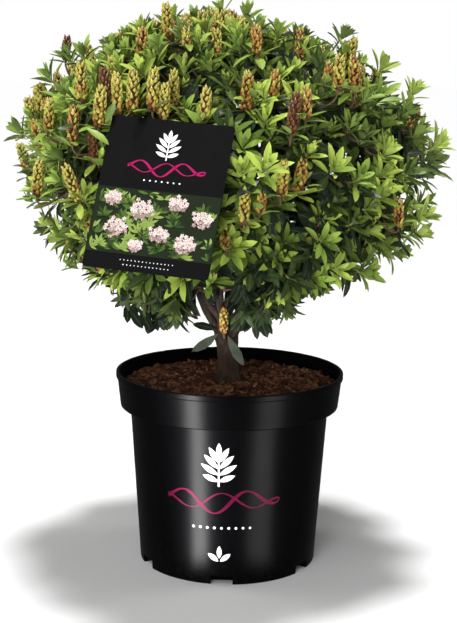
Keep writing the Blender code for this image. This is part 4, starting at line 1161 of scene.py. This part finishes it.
class Growth:
    """Grows the twigs of every mass to their tips, and gathers leaves and buds by colour."""

    kinds = ("lime", "fresh", "green", "deep", "old")

    def __init__(self, shoots):
        self.shoots = shoots
        self.leaves = {kind: [] for kind in self.kinds}
        self.buds = []
        self.forks = []
        self.wood = Shape()
        self.green = Shape()

    def leaf(self, kind, base, heading, face, length, width, curl, fold):
        """Adds a leaf unless it would touch the label; it ends at the head's outline."""
        heading = heading.normalized()
        sag = face.normalized() * length * curl / 2
        marks = [base + heading * length * t - sag * t * t for t in (0, 0.25, 0.5, 0.75, 1)]
        if min(label_room(mark) for mark in marks) < LEAF_CLEAR or any(in_gap(mark) for mark in marks):
            return
        bearing, elevation, depth = polar(marks[4])
        over = -depth - OUTLINE_OVER - min(0.0, swell(bearing, elevation))
        if over > 0:
            length = max(length * LEAST_LEAF, length - over)
        self.leaves[kind].append((*base, *heading, *face, length, width, max(curl, 0.02), fold))

    def any_leaf(self, kind, base, heading, face, rng, lengths, widths, curls, folds):
        """A leaf of random size and shape: length and width are shares of a full-grown young leaf's."""
        length = self.shoots.leaf_length * rng.uniform(*lengths)
        width = self.shoots.leaf_width * rng.uniform(*widths)
        self.leaf(kind, base, heading, face, length, width, rng.uniform(*curls), rng.uniform(*folds))

    def older(self, kind):
        return self.kinds[min(self.kinds.index(kind) + 1, len(self.kinds) - 1)]

    def whorl(self, tip, axis, kind, vigour, rng, spread, count=None):
        """The young leaves at a shoot's tip, upright within and spreading without."""
        count = count or rng.randint(11, 14)
        start = rng.uniform(0, math.tau)
        for i in range(count):
            share = i / (count - 1)
            out = square_to(axis, start + GOLDEN * i + rng.uniform(-0.2, 0.2))
            opened = math.radians(9 + spread * share**0.9 + rng.uniform(-8, 8))
            heading = axis * math.cos(opened) + out * math.sin(opened)
            face = axis * math.sin(opened) - out * math.cos(opened)
            length = self.shoots.leaf_length * vigour * min(1.0, 0.52 + share * 0.9) * rng.uniform(0.84, 1.14)
            width = self.shoots.leaf_width * vigour * min(1.0, 0.55 + share) * rng.uniform(0.85, 1.15)
            base = tip - axis * (0.0005 + 0.010 * share) + out * self.shoots.twig * 0.6
            tone = self.older(kind) if rng.random() < 0.05 + 0.34 * share else kind
            curl = 0.08 + 0.38 * share + rng.uniform(-0.1, 0.15)
            self.leaf(tone, base, heading, face, length, width, curl, rng.uniform(0.22, 0.5))

    def skirt(self, tip, axis, kind, rng, count, low, droop):
        """Older leaves further down a shoot, level or hanging."""
        start = rng.uniform(0, math.tau)
        longer = 1.15 if droop > 1 else 1.0
        for i in range(count):
            out = square_to(axis, start + GOLDEN * i + rng.uniform(-0.3, 0.3))
            opened = math.radians(rng.uniform(52, 96))
            heading = axis * math.cos(opened) + out * math.sin(opened)
            heading -= Vector((0, 0, droop * rng.uniform(0.3, 1.2)))
            face = axis + Vector((0, 0, 0.4))
            base = tip - axis * rng.uniform(0.010, low)
            lengths = (0.95 * longer, 1.2 * longer)
            self.any_leaf(kind, base, heading, face, rng, lengths, (1.0, 1.3), (0.1, 0.7), (0.1, 0.35))

    def bud(self, foot, axis, kind, scale):
        """Adds a flower bud unless it would touch the label."""
        marks = [foot + axis * self.shoots.bud_length * scale * t for t in (0, 0.33, 0.67, 1)]
        if min(label_room(mark) for mark in marks) < self.shoots.bud_radius + BUD_CLEAR:
            return False
        self.buds.append((foot, axis, kind, scale))
        return True

    def tone(self, elevation, rng):
        """Paler sprays higher up, darker ones below: the tints are the leaves' own, and the lean to paler
        ones with height and darker ones underneath is painted light and painted shade.
        """
        light = (elevation - LOW_EDGE) / (math.pi / 2 - LOW_EDGE)
        share = 0.30 * light + 0.70 * rng.random()
        # Below this elevation only the darker tints are dealt: painted shade
        if elevation < SHADE_PAINTED_BELOW:
            return "green" if share > 0.55 else "deep" if share > 0.25 else "old"
        return "lime" if share > 0.58 else "fresh" if share > 0.30 else "green" if share > 0.15 else "deep"

    def tips(self):
        """Tips spread evenly over the head by a spiral, sorted by mass, with how far each spot sinks."""
        rng = random.Random(self.shoots.seed)
        found = [[] for _ in SPACES]
        for i in range(self.shoots.count):
            level = 1 - 2 * (i + 0.5) / self.shoots.count
            bearing = GOLDEN * i + rng.uniform(-0.07, 0.07)
            elevation = max(-1.5, min(1.5, math.asin(level) + rng.uniform(-0.05, 0.05)))
            index = space_of(bearing, elevation)
            sunk, out = hollow(bearing, elevation), swell(bearing, elevation)
            depth = self.shoots.depth + HOLLOW_DEPTH * sunk + rng.gauss(0, DEPTH_SCATTER) - out
            if rng.random() < HIGH_SHARE and elevation > -0.6:
                depth = HIGH_DEPTH - out
            if elevation < LOWER_BELOW:
                depth -= LOW_REACH
            share = 0.4 if elevation < THIN_BELOW else 0.22 if elevation < 0.15 else 0.04
            thin = rng.random() < share
            if index is not None and not thin:
                found[index].append((under(bearing, elevation, max(depth, LEAST_DEPTH)), sunk))
        return found

    def grow(self, start, heading, tips, rng):
        """The branching rule: a twig forks towards two halves of its tips until one tip is left."""
        if len(tips) == 1:
            self.finish_shoot(start, *tips[0], rng)
            return
        places = [tip for tip, _ in tips]
        mean = sum(places, Vector()) / len(places)
        far = max(places, key=lambda place: (place - mean).length)
        ranked = sorted(tips, key=lambda tip: (tip[0] - mean).dot(far - mean))
        half = len(ranked) // 2
        for group in (ranked[:half], ranked[half:]):
            mean = sum((tip for tip, _ in group), Vector()) / len(group)
            fork = start + (mean - start) * 0.5 + heading * FORK_AHEAD
            bearing, elevation, depth = polar(fork)
            fork = under(bearing, elevation, max(depth, FORK_DEPTH))
            bend = start.lerp(fork, 0.5) + heading * (fork - start).length * 0.18
            path = bezier(start, bend, fork, 5)
            thick = self.shoots.twig * len(group) ** 0.36
            self.wood.tube(path, tapering(thick * 1.12, thick, 5), 6)
            self.forks.append(fork)
            if len(group) <= TUFT_TIPS:
                self.tuft(path, rng)
            self.grow(fork, (fork - start).normalized(), group, rng)

    def tuft(self, path, rng):
        """Dark leaves inside the head, along a twig that carries a few shoots: older leaves, their tint
        deepened as painted shade.
        """
        for _ in range(2):
            place = path[rng.randint(1, 4)]
            axis = shoot_heading(place, 0.2)
            turn = Matrix.Rotation(rng.uniform(0, math.tau), 3, axis)
            heading = turn @ axis.orthogonal() + axis * rng.uniform(-0.1, 0.7)
            kind = "old" if rng.random() < 0.6 or polar(place)[1] < 0 else "deep"
            self.any_leaf(kind, place, heading, axis, rng, (1.1, 1.4), (1.15, 1.45), (0.1, 0.6), (0.1, 0.3))

    def finish_shoot(self, start, tip, sunk, rng):
        """The last stretch of a shoot, with what it carries."""
        bearing, elevation, _ = polar(tip)
        wobble = Vector((rng.uniform(-1, 1), rng.uniform(-1, 1), rng.uniform(-0.5, 0.5))) * 0.2
        axis = (shoot_heading(tip, 0.85 + 0.4 * math.sin(elevation)) + wobble).normalized()
        gap = (tip - start).length
        control = tip - axis * min(0.030, gap * 0.5)
        path = bezier(start, control, tip, 8)
        if min(label_room(place) for place in path) < SHOOT_CLEAR or any(in_gap(place) for place in path[3:]):
            return
        twig = self.shoots.twig
        self.wood.tube(path[:5], tapering(twig * 1.2, twig * 1.05, 5), 5)
        self.green.tube(path[4:], tapering(twig * 1.1, twig, 4), 5)
        kind = self.tone(elevation, rng)
        low = elevation < OLDER_BELOW
        # Low shoots and shoots in a hollow get the darkest skirt leaves: older leaves, and painted shade
        dark = "old" if low or sunk > 0.5 else rng.choice(("deep", "deep", "green", "old"))
        west = 0.5 - 0.5 * math.sin(bearing + 0.5)
        chance = self.shoots.bud_share * (0.6 + 0.9 * west) * (1.3 if elevation > 0.1 else 0.7)
        chance *= 0.35 if math.cos(bearing) > 0.2 and elevation < math.radians(50) else 1.0
        budding = rng.random() < chance and elevation > BUDS_ABOVE and sunk < 0.8
        if budding and self.flowering(tip, axis, kind, rng):
            return
        vigour = rng.uniform(0.86, 1.1) * (1.1 - 0.22 * max(0.0, math.sin(elevation)))
        self.whorl(tip, axis, kind, vigour, rng, 42 if elevation > 0 else 52)
        droop = 0.9 if low else 0.15
        if elevation < LEAVES_HANG:
            droop = 1.5 if math.sin(bearing) < 0.3 else 0.6
        self.skirt(tip, axis, dark, rng, 5 if low else 4, 0.030, droop)

    def flowering(self, tip, axis, kind, rng):
        """A bud at a shoot's tip with leaves round its foot and two short side shoots, if there is room."""
        upright = (axis + Vector((0, 0, 1.3))).normalized()
        scale = rng.uniform(0.72, 1.12)
        bearing, elevation, sink = polar(tip + upright * self.shoots.bud_length * scale)
        foot = tip - upright * (BUD_DEPTH + max(0.0, -sink - min(0.0, swell(bearing, elevation))))
        tint = rng.choices(BUD_KINDS, weights=(7, 3, 0.5))[0]
        if not self.bud(foot, upright, tint, scale):
            return False
        self.skirt(foot + upright * 0.012, upright, kind, rng, 6, 0.016, 0.0)
        for _ in range(2):
            turn = Matrix.Rotation(rng.uniform(0, math.tau), 3, upright)
            out = turn @ upright.orthogonal().normalized()
            side_tip = foot + out * rng.uniform(0.009, 0.015) + upright * rng.uniform(0.002, 0.014)
            path = [foot, foot.lerp(side_tip, 0.6) + out * 0.002, side_tip]
            self.green.tube(path, [self.shoots.twig * 0.9] * 3, 5)
            self.whorl(side_tip, (upright + out * 0.5).normalized(), kind, 0.8, rng, 40, 6)
        return True

    def all_masses(self):
        """Stems run on from the boughs' tips to the middle of each mass and branch from there."""
        lines = bough_lines()
        groups = self.tips()
        for (name, bearing, half, low, high), (_, line, _, last), tips in zip(SPACES, lines, groups):
            rng = random.Random(f"{self.shoots.seed} {name}")
            middle = (max(low, HUB_LOW) + high) / 2 if half < math.pi else math.pi / 2
            hub = under(bearing, middle, HUB_DEPTH)
            heading = (line[-1] - line[-2]).normalized()
            control = line[-1] + heading * (hub - line[-1]).length * 0.45
            path = bezier(line[-1] - heading * 0.002, control, hub, 12)
            self.wood.tube(path, tapering(last, last * 0.85, 12), 8)
            self.grow(hub, (hub - line[-1]).normalized(), tips, rng)

    def by_the_fork(self):
        """A bud and old leaves on short stubs at the trunk's head."""
        rng = random.Random(5)
        self.wood.tube(FORK_STUB, [0.0014] * 3, 6)
        self.buds.append((FORK_STUB[-1], Vector((0.02, -0.08, 1)).normalized(), "amber", 0.74))
        # All these leaves take the old tint, whose darkness here is partly painted shade under the head
        for base, heading, length, breadth, side in FORK_LEAVES:
            face = Vector((0, 0.8, -0.7)) * side
            sizes = (length, length * breadth, rng.uniform(0.1, 0.3), 0.15)
            self.leaves["old"].append((*base, *heading.normalized(), *face, *sizes))
        for *patch, count in FORK_PATCHES:
            self.hanging(*patch, count, rng)

    def hanging(self, left, right, low, high, count, rng):
        """Old leaves that hang in a patch of x and z, each from a thin stalk behind it."""
        for _ in range(count):
            base = Vector((rng.uniform(left, right), rng.uniform(-0.045, -0.012), rng.uniform(low, high)))
            heading = Vector((rng.uniform(-0.5, 0.8), rng.uniform(-0.7, 0.1), rng.uniform(-1.1, -0.2)))
            face = Vector((rng.uniform(-0.3, 0.3), -0.8, 0.4))
            stalk = base - heading.normalized() * 0.012 + Vector((0, 0.014, 0.006))
            self.wood.tube([stalk, base.lerp(stalk, 0.4), base], [self.shoots.twig] * 3, 5)
            self.any_leaf("old", base, heading, face, rng, (1.05, 1.35), (1.1, 1.5), (0.1, 0.5), (0.1, 0.3))

    def spikes_in_view(self):
        """Buds where they show most from the front, each on a stem from the nearest twig."""
        rng = random.Random(17)
        for across, height, kind, scale in BUD_SPOTS:
            ray = Vector((across, 0, height)) - EYE
            places = [EYE + ray * (t / SIGHT_STEPS) for t in range(SIGHT_NEAR, SIGHT_FAR)]
            deepest = max(places, key=lambda place: polar(place)[2])
            axis = Vector((rng.uniform(-0.12, 0.12), rng.uniform(-0.25, 0.0), 1)).normalized()
            within = [place for place in places if polar(place)[2] > BUD_SUNK] or [deepest]
            foot = next((place for place in within if self.bud(place, axis, kind, scale)), None)
            if foot is None:
                continue
            fork = min(self.forks, key=lambda place: (place - foot).length)
            path = bezier(fork, foot - axis * 0.018, foot, 7)
            self.wood.tube(path, tapering(self.shoots.twig * 1.3, self.shoots.twig, 7), 5)
            self.skirt(foot + axis * 0.012, axis, "fresh", rng, 5, 0.016, 0.0)

    def over_label(self):
        """Two leaves that reach past the label's left edge, in front of it."""
        left, front = -LABEL_WIDTH / 2, -0.006
        spots = (
            (Vector((left - 0.020, front, 0.0510)), Vector((left + 0.004, front, 0.0400)), "fresh"),
            (Vector((left - 0.003, front, 0.0560)), Vector((left + 0.001, front, 0.0770)), "green"),
        )
        turn = LABEL_PLACE.to_3x3()
        for base, tip, kind in spots:
            heading, face = turn @ (tip - base), turn @ Vector((0.2, -0.8, 0.5))
            sizes = (heading.length, heading.length * 0.32, 0.25, 0.3)
            self.leaves[kind].append((*(LABEL_PLACE @ base), *heading, *face, *sizes))


class RHODODENDRON_OT_foliage(bpy.types.Operator):
    """Grow twigs, leaves and flower buds on from the boughs"""

    bl_idname = "rhododendron.foliage"
    bl_label = "Shoots, leaves and buds"

    def execute(self, context):
        tints = context.scene.rhododendron_colours
        shoots = context.scene.rhododendron_shoots
        growth = Growth(shoots)
        growth.all_masses()
        growth.spikes_in_view()
        growth.by_the_fork()
        growth.over_label()
        growth.wood.piece("twigs_woody", [stem_finish("twig_wood", tints.twig)], "bark", MASSES)
        growth.green.piece("shoot_stems", [stem_finish("shoot_green", tints.shoot)], "foliage", MASSES)
        for kind in growth.kinds:
            tint = tuple(getattr(tints, kind))
            grey = OLD_UNDERSIDE if kind == "old" else UNDERSIDE
            pale = blend_tints(tint, grey, 0.75 if kind in ("deep", "old") else 0.35)
            finishes = [
                leaf_finish(f"leaf_{kind}", tint, 0.40),
                leaf_finish(f"leaf_{kind}_rib", blend_tints(tint, MIDRIB, 0.16), 0.45),
                leaf_finish(f"leaf_{kind}_under", pale, 0.62),
            ]
            rows = growth.leaves[kind]
            for part, start in enumerate(range(0, len(rows), PIECE_LEAVES)):
                shape = Shape()
                shape.add_many(*leaf_blades(rows[start:start + PIECE_LEAVES], shoots.leaf_thick))
                shape.piece(f"leaves_{kind}_{part + 1}", finishes, "foliage", MASSES, sharp=75)
        self.make_buds(growth.buds, shoots, tints)
        return {"FINISHED"}

    def make_buds(self, buds, shoots, tints):
        """Every bud as a core ringed by overlapping scales, paler towards the tip."""
        rng = random.Random(11)
        placed = [[] for _ in BUD_KINDS]
        shape = Shape()
        for foot, axis, kind, grown in buds:
            length = shoots.bud_length * grown
            girth = shoots.bud_radius * (0.7 + 0.3 * grown) * rng.uniform(0.9, 1.12)
            path = [foot + axis * length * mark for mark in BUD_MARKS]
            core = [girth * 0.7 * bud_girth(mark) for mark in BUD_MARKS]
            shape.tube(path, core, 8, slot=len(BUD_KINDS))
            count = int(BUD_SCALES * grown)
            for i in range(count):
                share = 0.03 + 0.93 * i / (count - 1)
                out = square_to(axis, GOLDEN * i + rng.uniform(-0.3, 0.3))
                up = (axis + out * rng.uniform(0.15, 0.5)).normalized()
                face = (out - up * out.dot(up)).normalized()
                centre = foot + axis * length * share + out * girth * 0.80 * bud_girth(share)
                plump = rng.uniform(0.85, 1.15)
                wide, thick, tall = (side * plump for side in SCALE_SIZE)
                turned = Matrix((face.cross(up), face, up)).transposed().to_4x4()
                span = Matrix.Diagonal((wide, thick, tall * (1 - 0.2 * share), 1.0))
                tone = BUD_KINDS.index(kind)
                if kind == "gold":
                    tone = 0 if rng.random() < share * 1.7 + 0.05 else 1 if share > 0.12 else 2
                elif kind == "amber":
                    tone = 0 if rng.random() < share * 0.3 else 1 if rng.random() < 0.4 + share else 2
                placed[tone].append(Matrix.Translation(centre) @ turned @ span)
        for tone, matrices in enumerate(placed):
            shape.place(drop_form(), [np.array(m) for m in matrices], tone)
        finishes = [scale_finish(f"bud_{name}", getattr(tints, name)) for name in BUD_KINDS]
        # The core shows only between the scales; its darkened rust is painted shade in those gaps
        finishes.append(scale_finish("bud_core", shade(tints.rust, 0.35)))
        shape.piece("flower_buds", finishes, "foliage", MASSES, sharp=180)


# Plant label


def on_label(across, height, lift):
    return LABEL_PLACE @ Vector((across, -LABEL_THICK / 2 - lift, height))


class RHODODENDRON_OT_label(bpy.types.Operator):
    """Finish the plant label and its loop, and print the card's front"""

    bl_idname = "rhododendron.label"
    bl_label = "Plant label"

    def execute(self, context):
        pot = context.scene.rhododendron_pot
        card = card_finish(pot.card)
        for name in ("plant_label", "label_loop"):
            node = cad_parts[name]
            node.data.materials.clear()
            node.data.materials.append(card)
        tints = {"white": pot.white, "magenta": pot.magenta, **PICTURE_TINTS}
        inks = [ink_finish("label_" + name, tint) for name, tint in tints.items()]
        art = Print(on_label, LABEL_INK)
        art.sprig(*LABEL_SPRIG, WHITE)
        art.ribbons(*LABEL_RIBBONS, MAGENTA)
        for row in LABEL_DOTS:
            art.dots(*row, WHITE)
        self.picture(art)
        art.shape.piece("label_print", inks, "label")
        return {"FINISHED"}

    def picture(self, art):
        """A band of pale blossom over leaves, in a layout of its own."""
        rng = random.Random(3)
        half, low, high = PICTURE_HALF, PICTURE_LOW, PICTURE_HIGH
        art.strip([((-half, low), (half, low)), ((-half, high), (half, high))], HEDGE)
        for fan in range(PICTURE_FANS):
            x, y = rng.uniform(-half, half), rng.uniform(low, high)
            lean, light = rng.uniform(-0.9, 0.9), rng.random()
            for i in range(FAN_LEAVES):
                angle = lean + (i - FAN_LEAVES // 2) * 0.5 + rng.uniform(-0.15, 0.15)
                length = rng.uniform(0.0055, 0.0100)
                end_x, end_y = x + math.sin(angle) * length, y + math.cos(angle) * length
                if max(abs(end_x), abs(x)) >= half - 0.0012:
                    continue
                if low + PICTURE_MARGIN < min(y, end_y) < max(y, end_y) < high - PICTURE_MARGIN:
                    tone = LEAF_LIGHT
                    if light <= 0.72:
                        tone = LEAF_MID if rng.random() < 0.35 + light * 0.5 else LEAF_DARK
                    art.leaf((x, y), angle, length, length * 0.27, tone, 1 + fan % 4, steps=5)
        for x, y, spread in BLOSSOMS:
            count = int(spread * 2900)
            for i in range(count):
                distance = spread * math.sqrt((i + 0.5) / count) * rng.uniform(0.75, 1.15)
                turn = GOLDEN * i
                fx, fy = x + distance * math.cos(turn), y + distance * math.sin(turn) * 0.82
                start = rng.uniform(0, math.tau)
                shaded = fy < y - spread * 0.25
                tones = (PETAL_SHADE, PETAL_SHADE, PETAL) if shaded else (PETAL, PETAL_PALE, PETAL_PALE)
                for petal in range(5):
                    angle = start + math.tau * petal / 5
                    art.leaf((fx, fy), angle, 0.0021, 0.0012, rng.choice(tones), 5 + i % 3, steps=4)
                art.dot(fx, fy, 0.00028, FLOWER_EYE, 8)


# Stage


class RHODODENDRON_OT_studio(bpy.types.Operator):
    """Lay the floor, hang the lights and set up the camera"""

    bl_idname = "rhododendron.studio"
    bl_label = "Studio"

    def execute(self, context):
        studio = context.scene.rhododendron_studio
        points, faces = lathe([(radius, 0.0) for radius in FLOOR_RINGS], 96)
        mesh = bpy.data.meshes.new("studio_floor")
        mesh.from_pydata(points, [], [face[::-1] for face in faces])
        finish = Finish("studio_floor", 0.9, Specular_IOR_Level=0.1)
        finish.paint(finish.shades(finish.grain(3.0), (1.0, 1.0, 1.0), (0.3, 0.73), (0.7, 0.75)))
        mesh.materials.append(finish.material)
        floor = bpy.data.objects.new("studio_floor", mesh)
        context.scene.collection.objects.link(floor)
        floor.visible_glossy = False
        self.lights(context, studio)
        self.surround(context, studio)
        self.camera(context)
        context.scene.view_settings.view_transform = "Standard"
        return {"FINISHED"}

    def lights(self, context, studio):
        suns = (
            ("top_light", studio.top_light, TOP_SPREAD, TOP_PLACE),
            ("glow_light", studio.glow, GLOW_SPREAD, toward(GLOW_BEARING, GLOW_ELEVATION)),
        )
        for name, strength, spread, place in suns:
            sun = bpy.data.lights.new(name, "SUN")
            sun.energy, sun.angle = strength, spread
            self.hang(context, sun, place, Vector((0, 0, 0)))
        for name, *direction in SOFT_LIGHTS:
            soft = bpy.data.lights.new(name + "_light", "AREA")
            soft.shape, soft.size = "DISK", SOFT_SIZE
            soft.energy = studio.key if name == "front" else studio.side
            place = toward(*map(math.radians, direction)) * SOFT_AWAY + MIDDLE
            self.hang(context, soft, place, MIDDLE).visible_glossy = False
        for face, towards in (("front", 0), ("back", 180)):
            for name, bearing, width in STRIPS:
                strip = bpy.data.lights.new(f"{face}_{name}_strip", "AREA")
                strip.shape, strip.spread = "RECTANGLE", STRIP_SPREAD
                strip.size, strip.size_y = width, STRIP_LENGTH
                strip.energy = getattr(studio, name + "_light")
                spot = facing(math.radians(towards + bearing)) * STRIP_WALL
                place = spot + facing(math.radians(towards + 2 * bearing)) * STRIP_AWAY
                place.z, spot.z = STRIP_HEIGHT, STRIP_HEIGHT + STRIP_LIFT
                self.hang(context, strip, place, spot)

    def hang(self, context, lamp, place, aim):
        obj = bpy.data.objects.new(lamp.name, lamp)
        context.scene.collection.objects.link(obj)
        obj.location = place
        obj.rotation_euler = (aim - place).to_track_quat("-Z", "Y").to_euler()
        obj.visible_camera = False
        return obj

    def surround(self, context, studio):
        """A white studio that lights softly and shows as white behind the plant."""
        world = bpy.data.worlds.new("studio")
        world.use_nodes = True
        context.scene.world = world
        nodes = Nodes(world.node_tree)
        seen = nodes.add("ShaderNodeLightPath", {}, {}, out="Is Camera Ray")
        strength = nodes.add("ShaderNodeMapRange", {}, {"Value": seen, "To Min": studio.fill, "To Max": 1.0})
        background = world.node_tree.nodes["Background"]
        nodes.put(background.inputs["Color"], (1, 1, 1))
        nodes.put(background.inputs["Strength"], strength)

    def camera(self, context):
        lens = bpy.data.cameras.new("camera")
        lens.sensor_width, lens.lens = SENSOR, LENS
        lens.clip_start, lens.clip_end = 0.05, 100
        camera = bpy.data.objects.new("camera", lens)
        context.scene.collection.objects.link(camera)
        turned = Matrix.Rotation(CAMERA_PITCH, 4, "X") @ Matrix.Rotation(CAMERA_ROLL, 4, "Z")
        camera.matrix_world = Matrix.Translation(EYE) @ turned
        context.scene.camera = camera


class RHODODENDRON_PT_panel(bpy.types.Panel):
    """Lists the steps and their settings"""

    bl_idname = "RHODODENDRON_PT_panel"
    bl_label = "Potted Rhododendron"
    bl_space_type = "VIEW_3D"
    bl_region_type = "UI"
    bl_category = "Rhododendron"

    def draw(self, context):
        for name, group in GROUPS.items():
            box = self.layout.box()
            settings = getattr(context.scene, name)
            for key in group.__annotations__:
                box.prop(settings, key)
        for step in STEPS:
            self.layout.operator(step.bl_idname)


GROUPS = {
    "rhododendron_shoots": RhododendronShoots,
    "rhododendron_colours": RhododendronColours,
    "rhododendron_pot": RhododendronPot,
    "rhododendron_studio": RhododendronStudio,
}
STEPS = (
    RHODODENDRON_OT_pot,
    RHODODENDRON_OT_compost,
    RHODODENDRON_OT_limbs,
    RHODODENDRON_OT_foliage,
    RHODODENDRON_OT_label,
    RHODODENDRON_OT_studio,
)


def register():
    for group in (*GROUPS.values(), *STEPS, RHODODENDRON_PT_panel):
        bpy.utils.register_class(group)
    for name, group in GROUPS.items():
        setattr(bpy.types.Scene, name, bpy.props.PointerProperty(type=group))


def unregister():
    for name in GROUPS:
        delattr(bpy.types.Scene, name)
    for group in (RHODODENDRON_PT_panel, *STEPS, *GROUPS.values()):
        bpy.utils.unregister_class(group)


def main():
    register()
    bpy.ops.rhododendron.pot()
    bpy.ops.rhododendron.compost()
    bpy.ops.rhododendron.limbs()
    bpy.ops.rhododendron.foliage()
    bpy.ops.rhododendron.label()
    bpy.ops.rhododendron.studio()


if __name__ == "__main__":
    main()
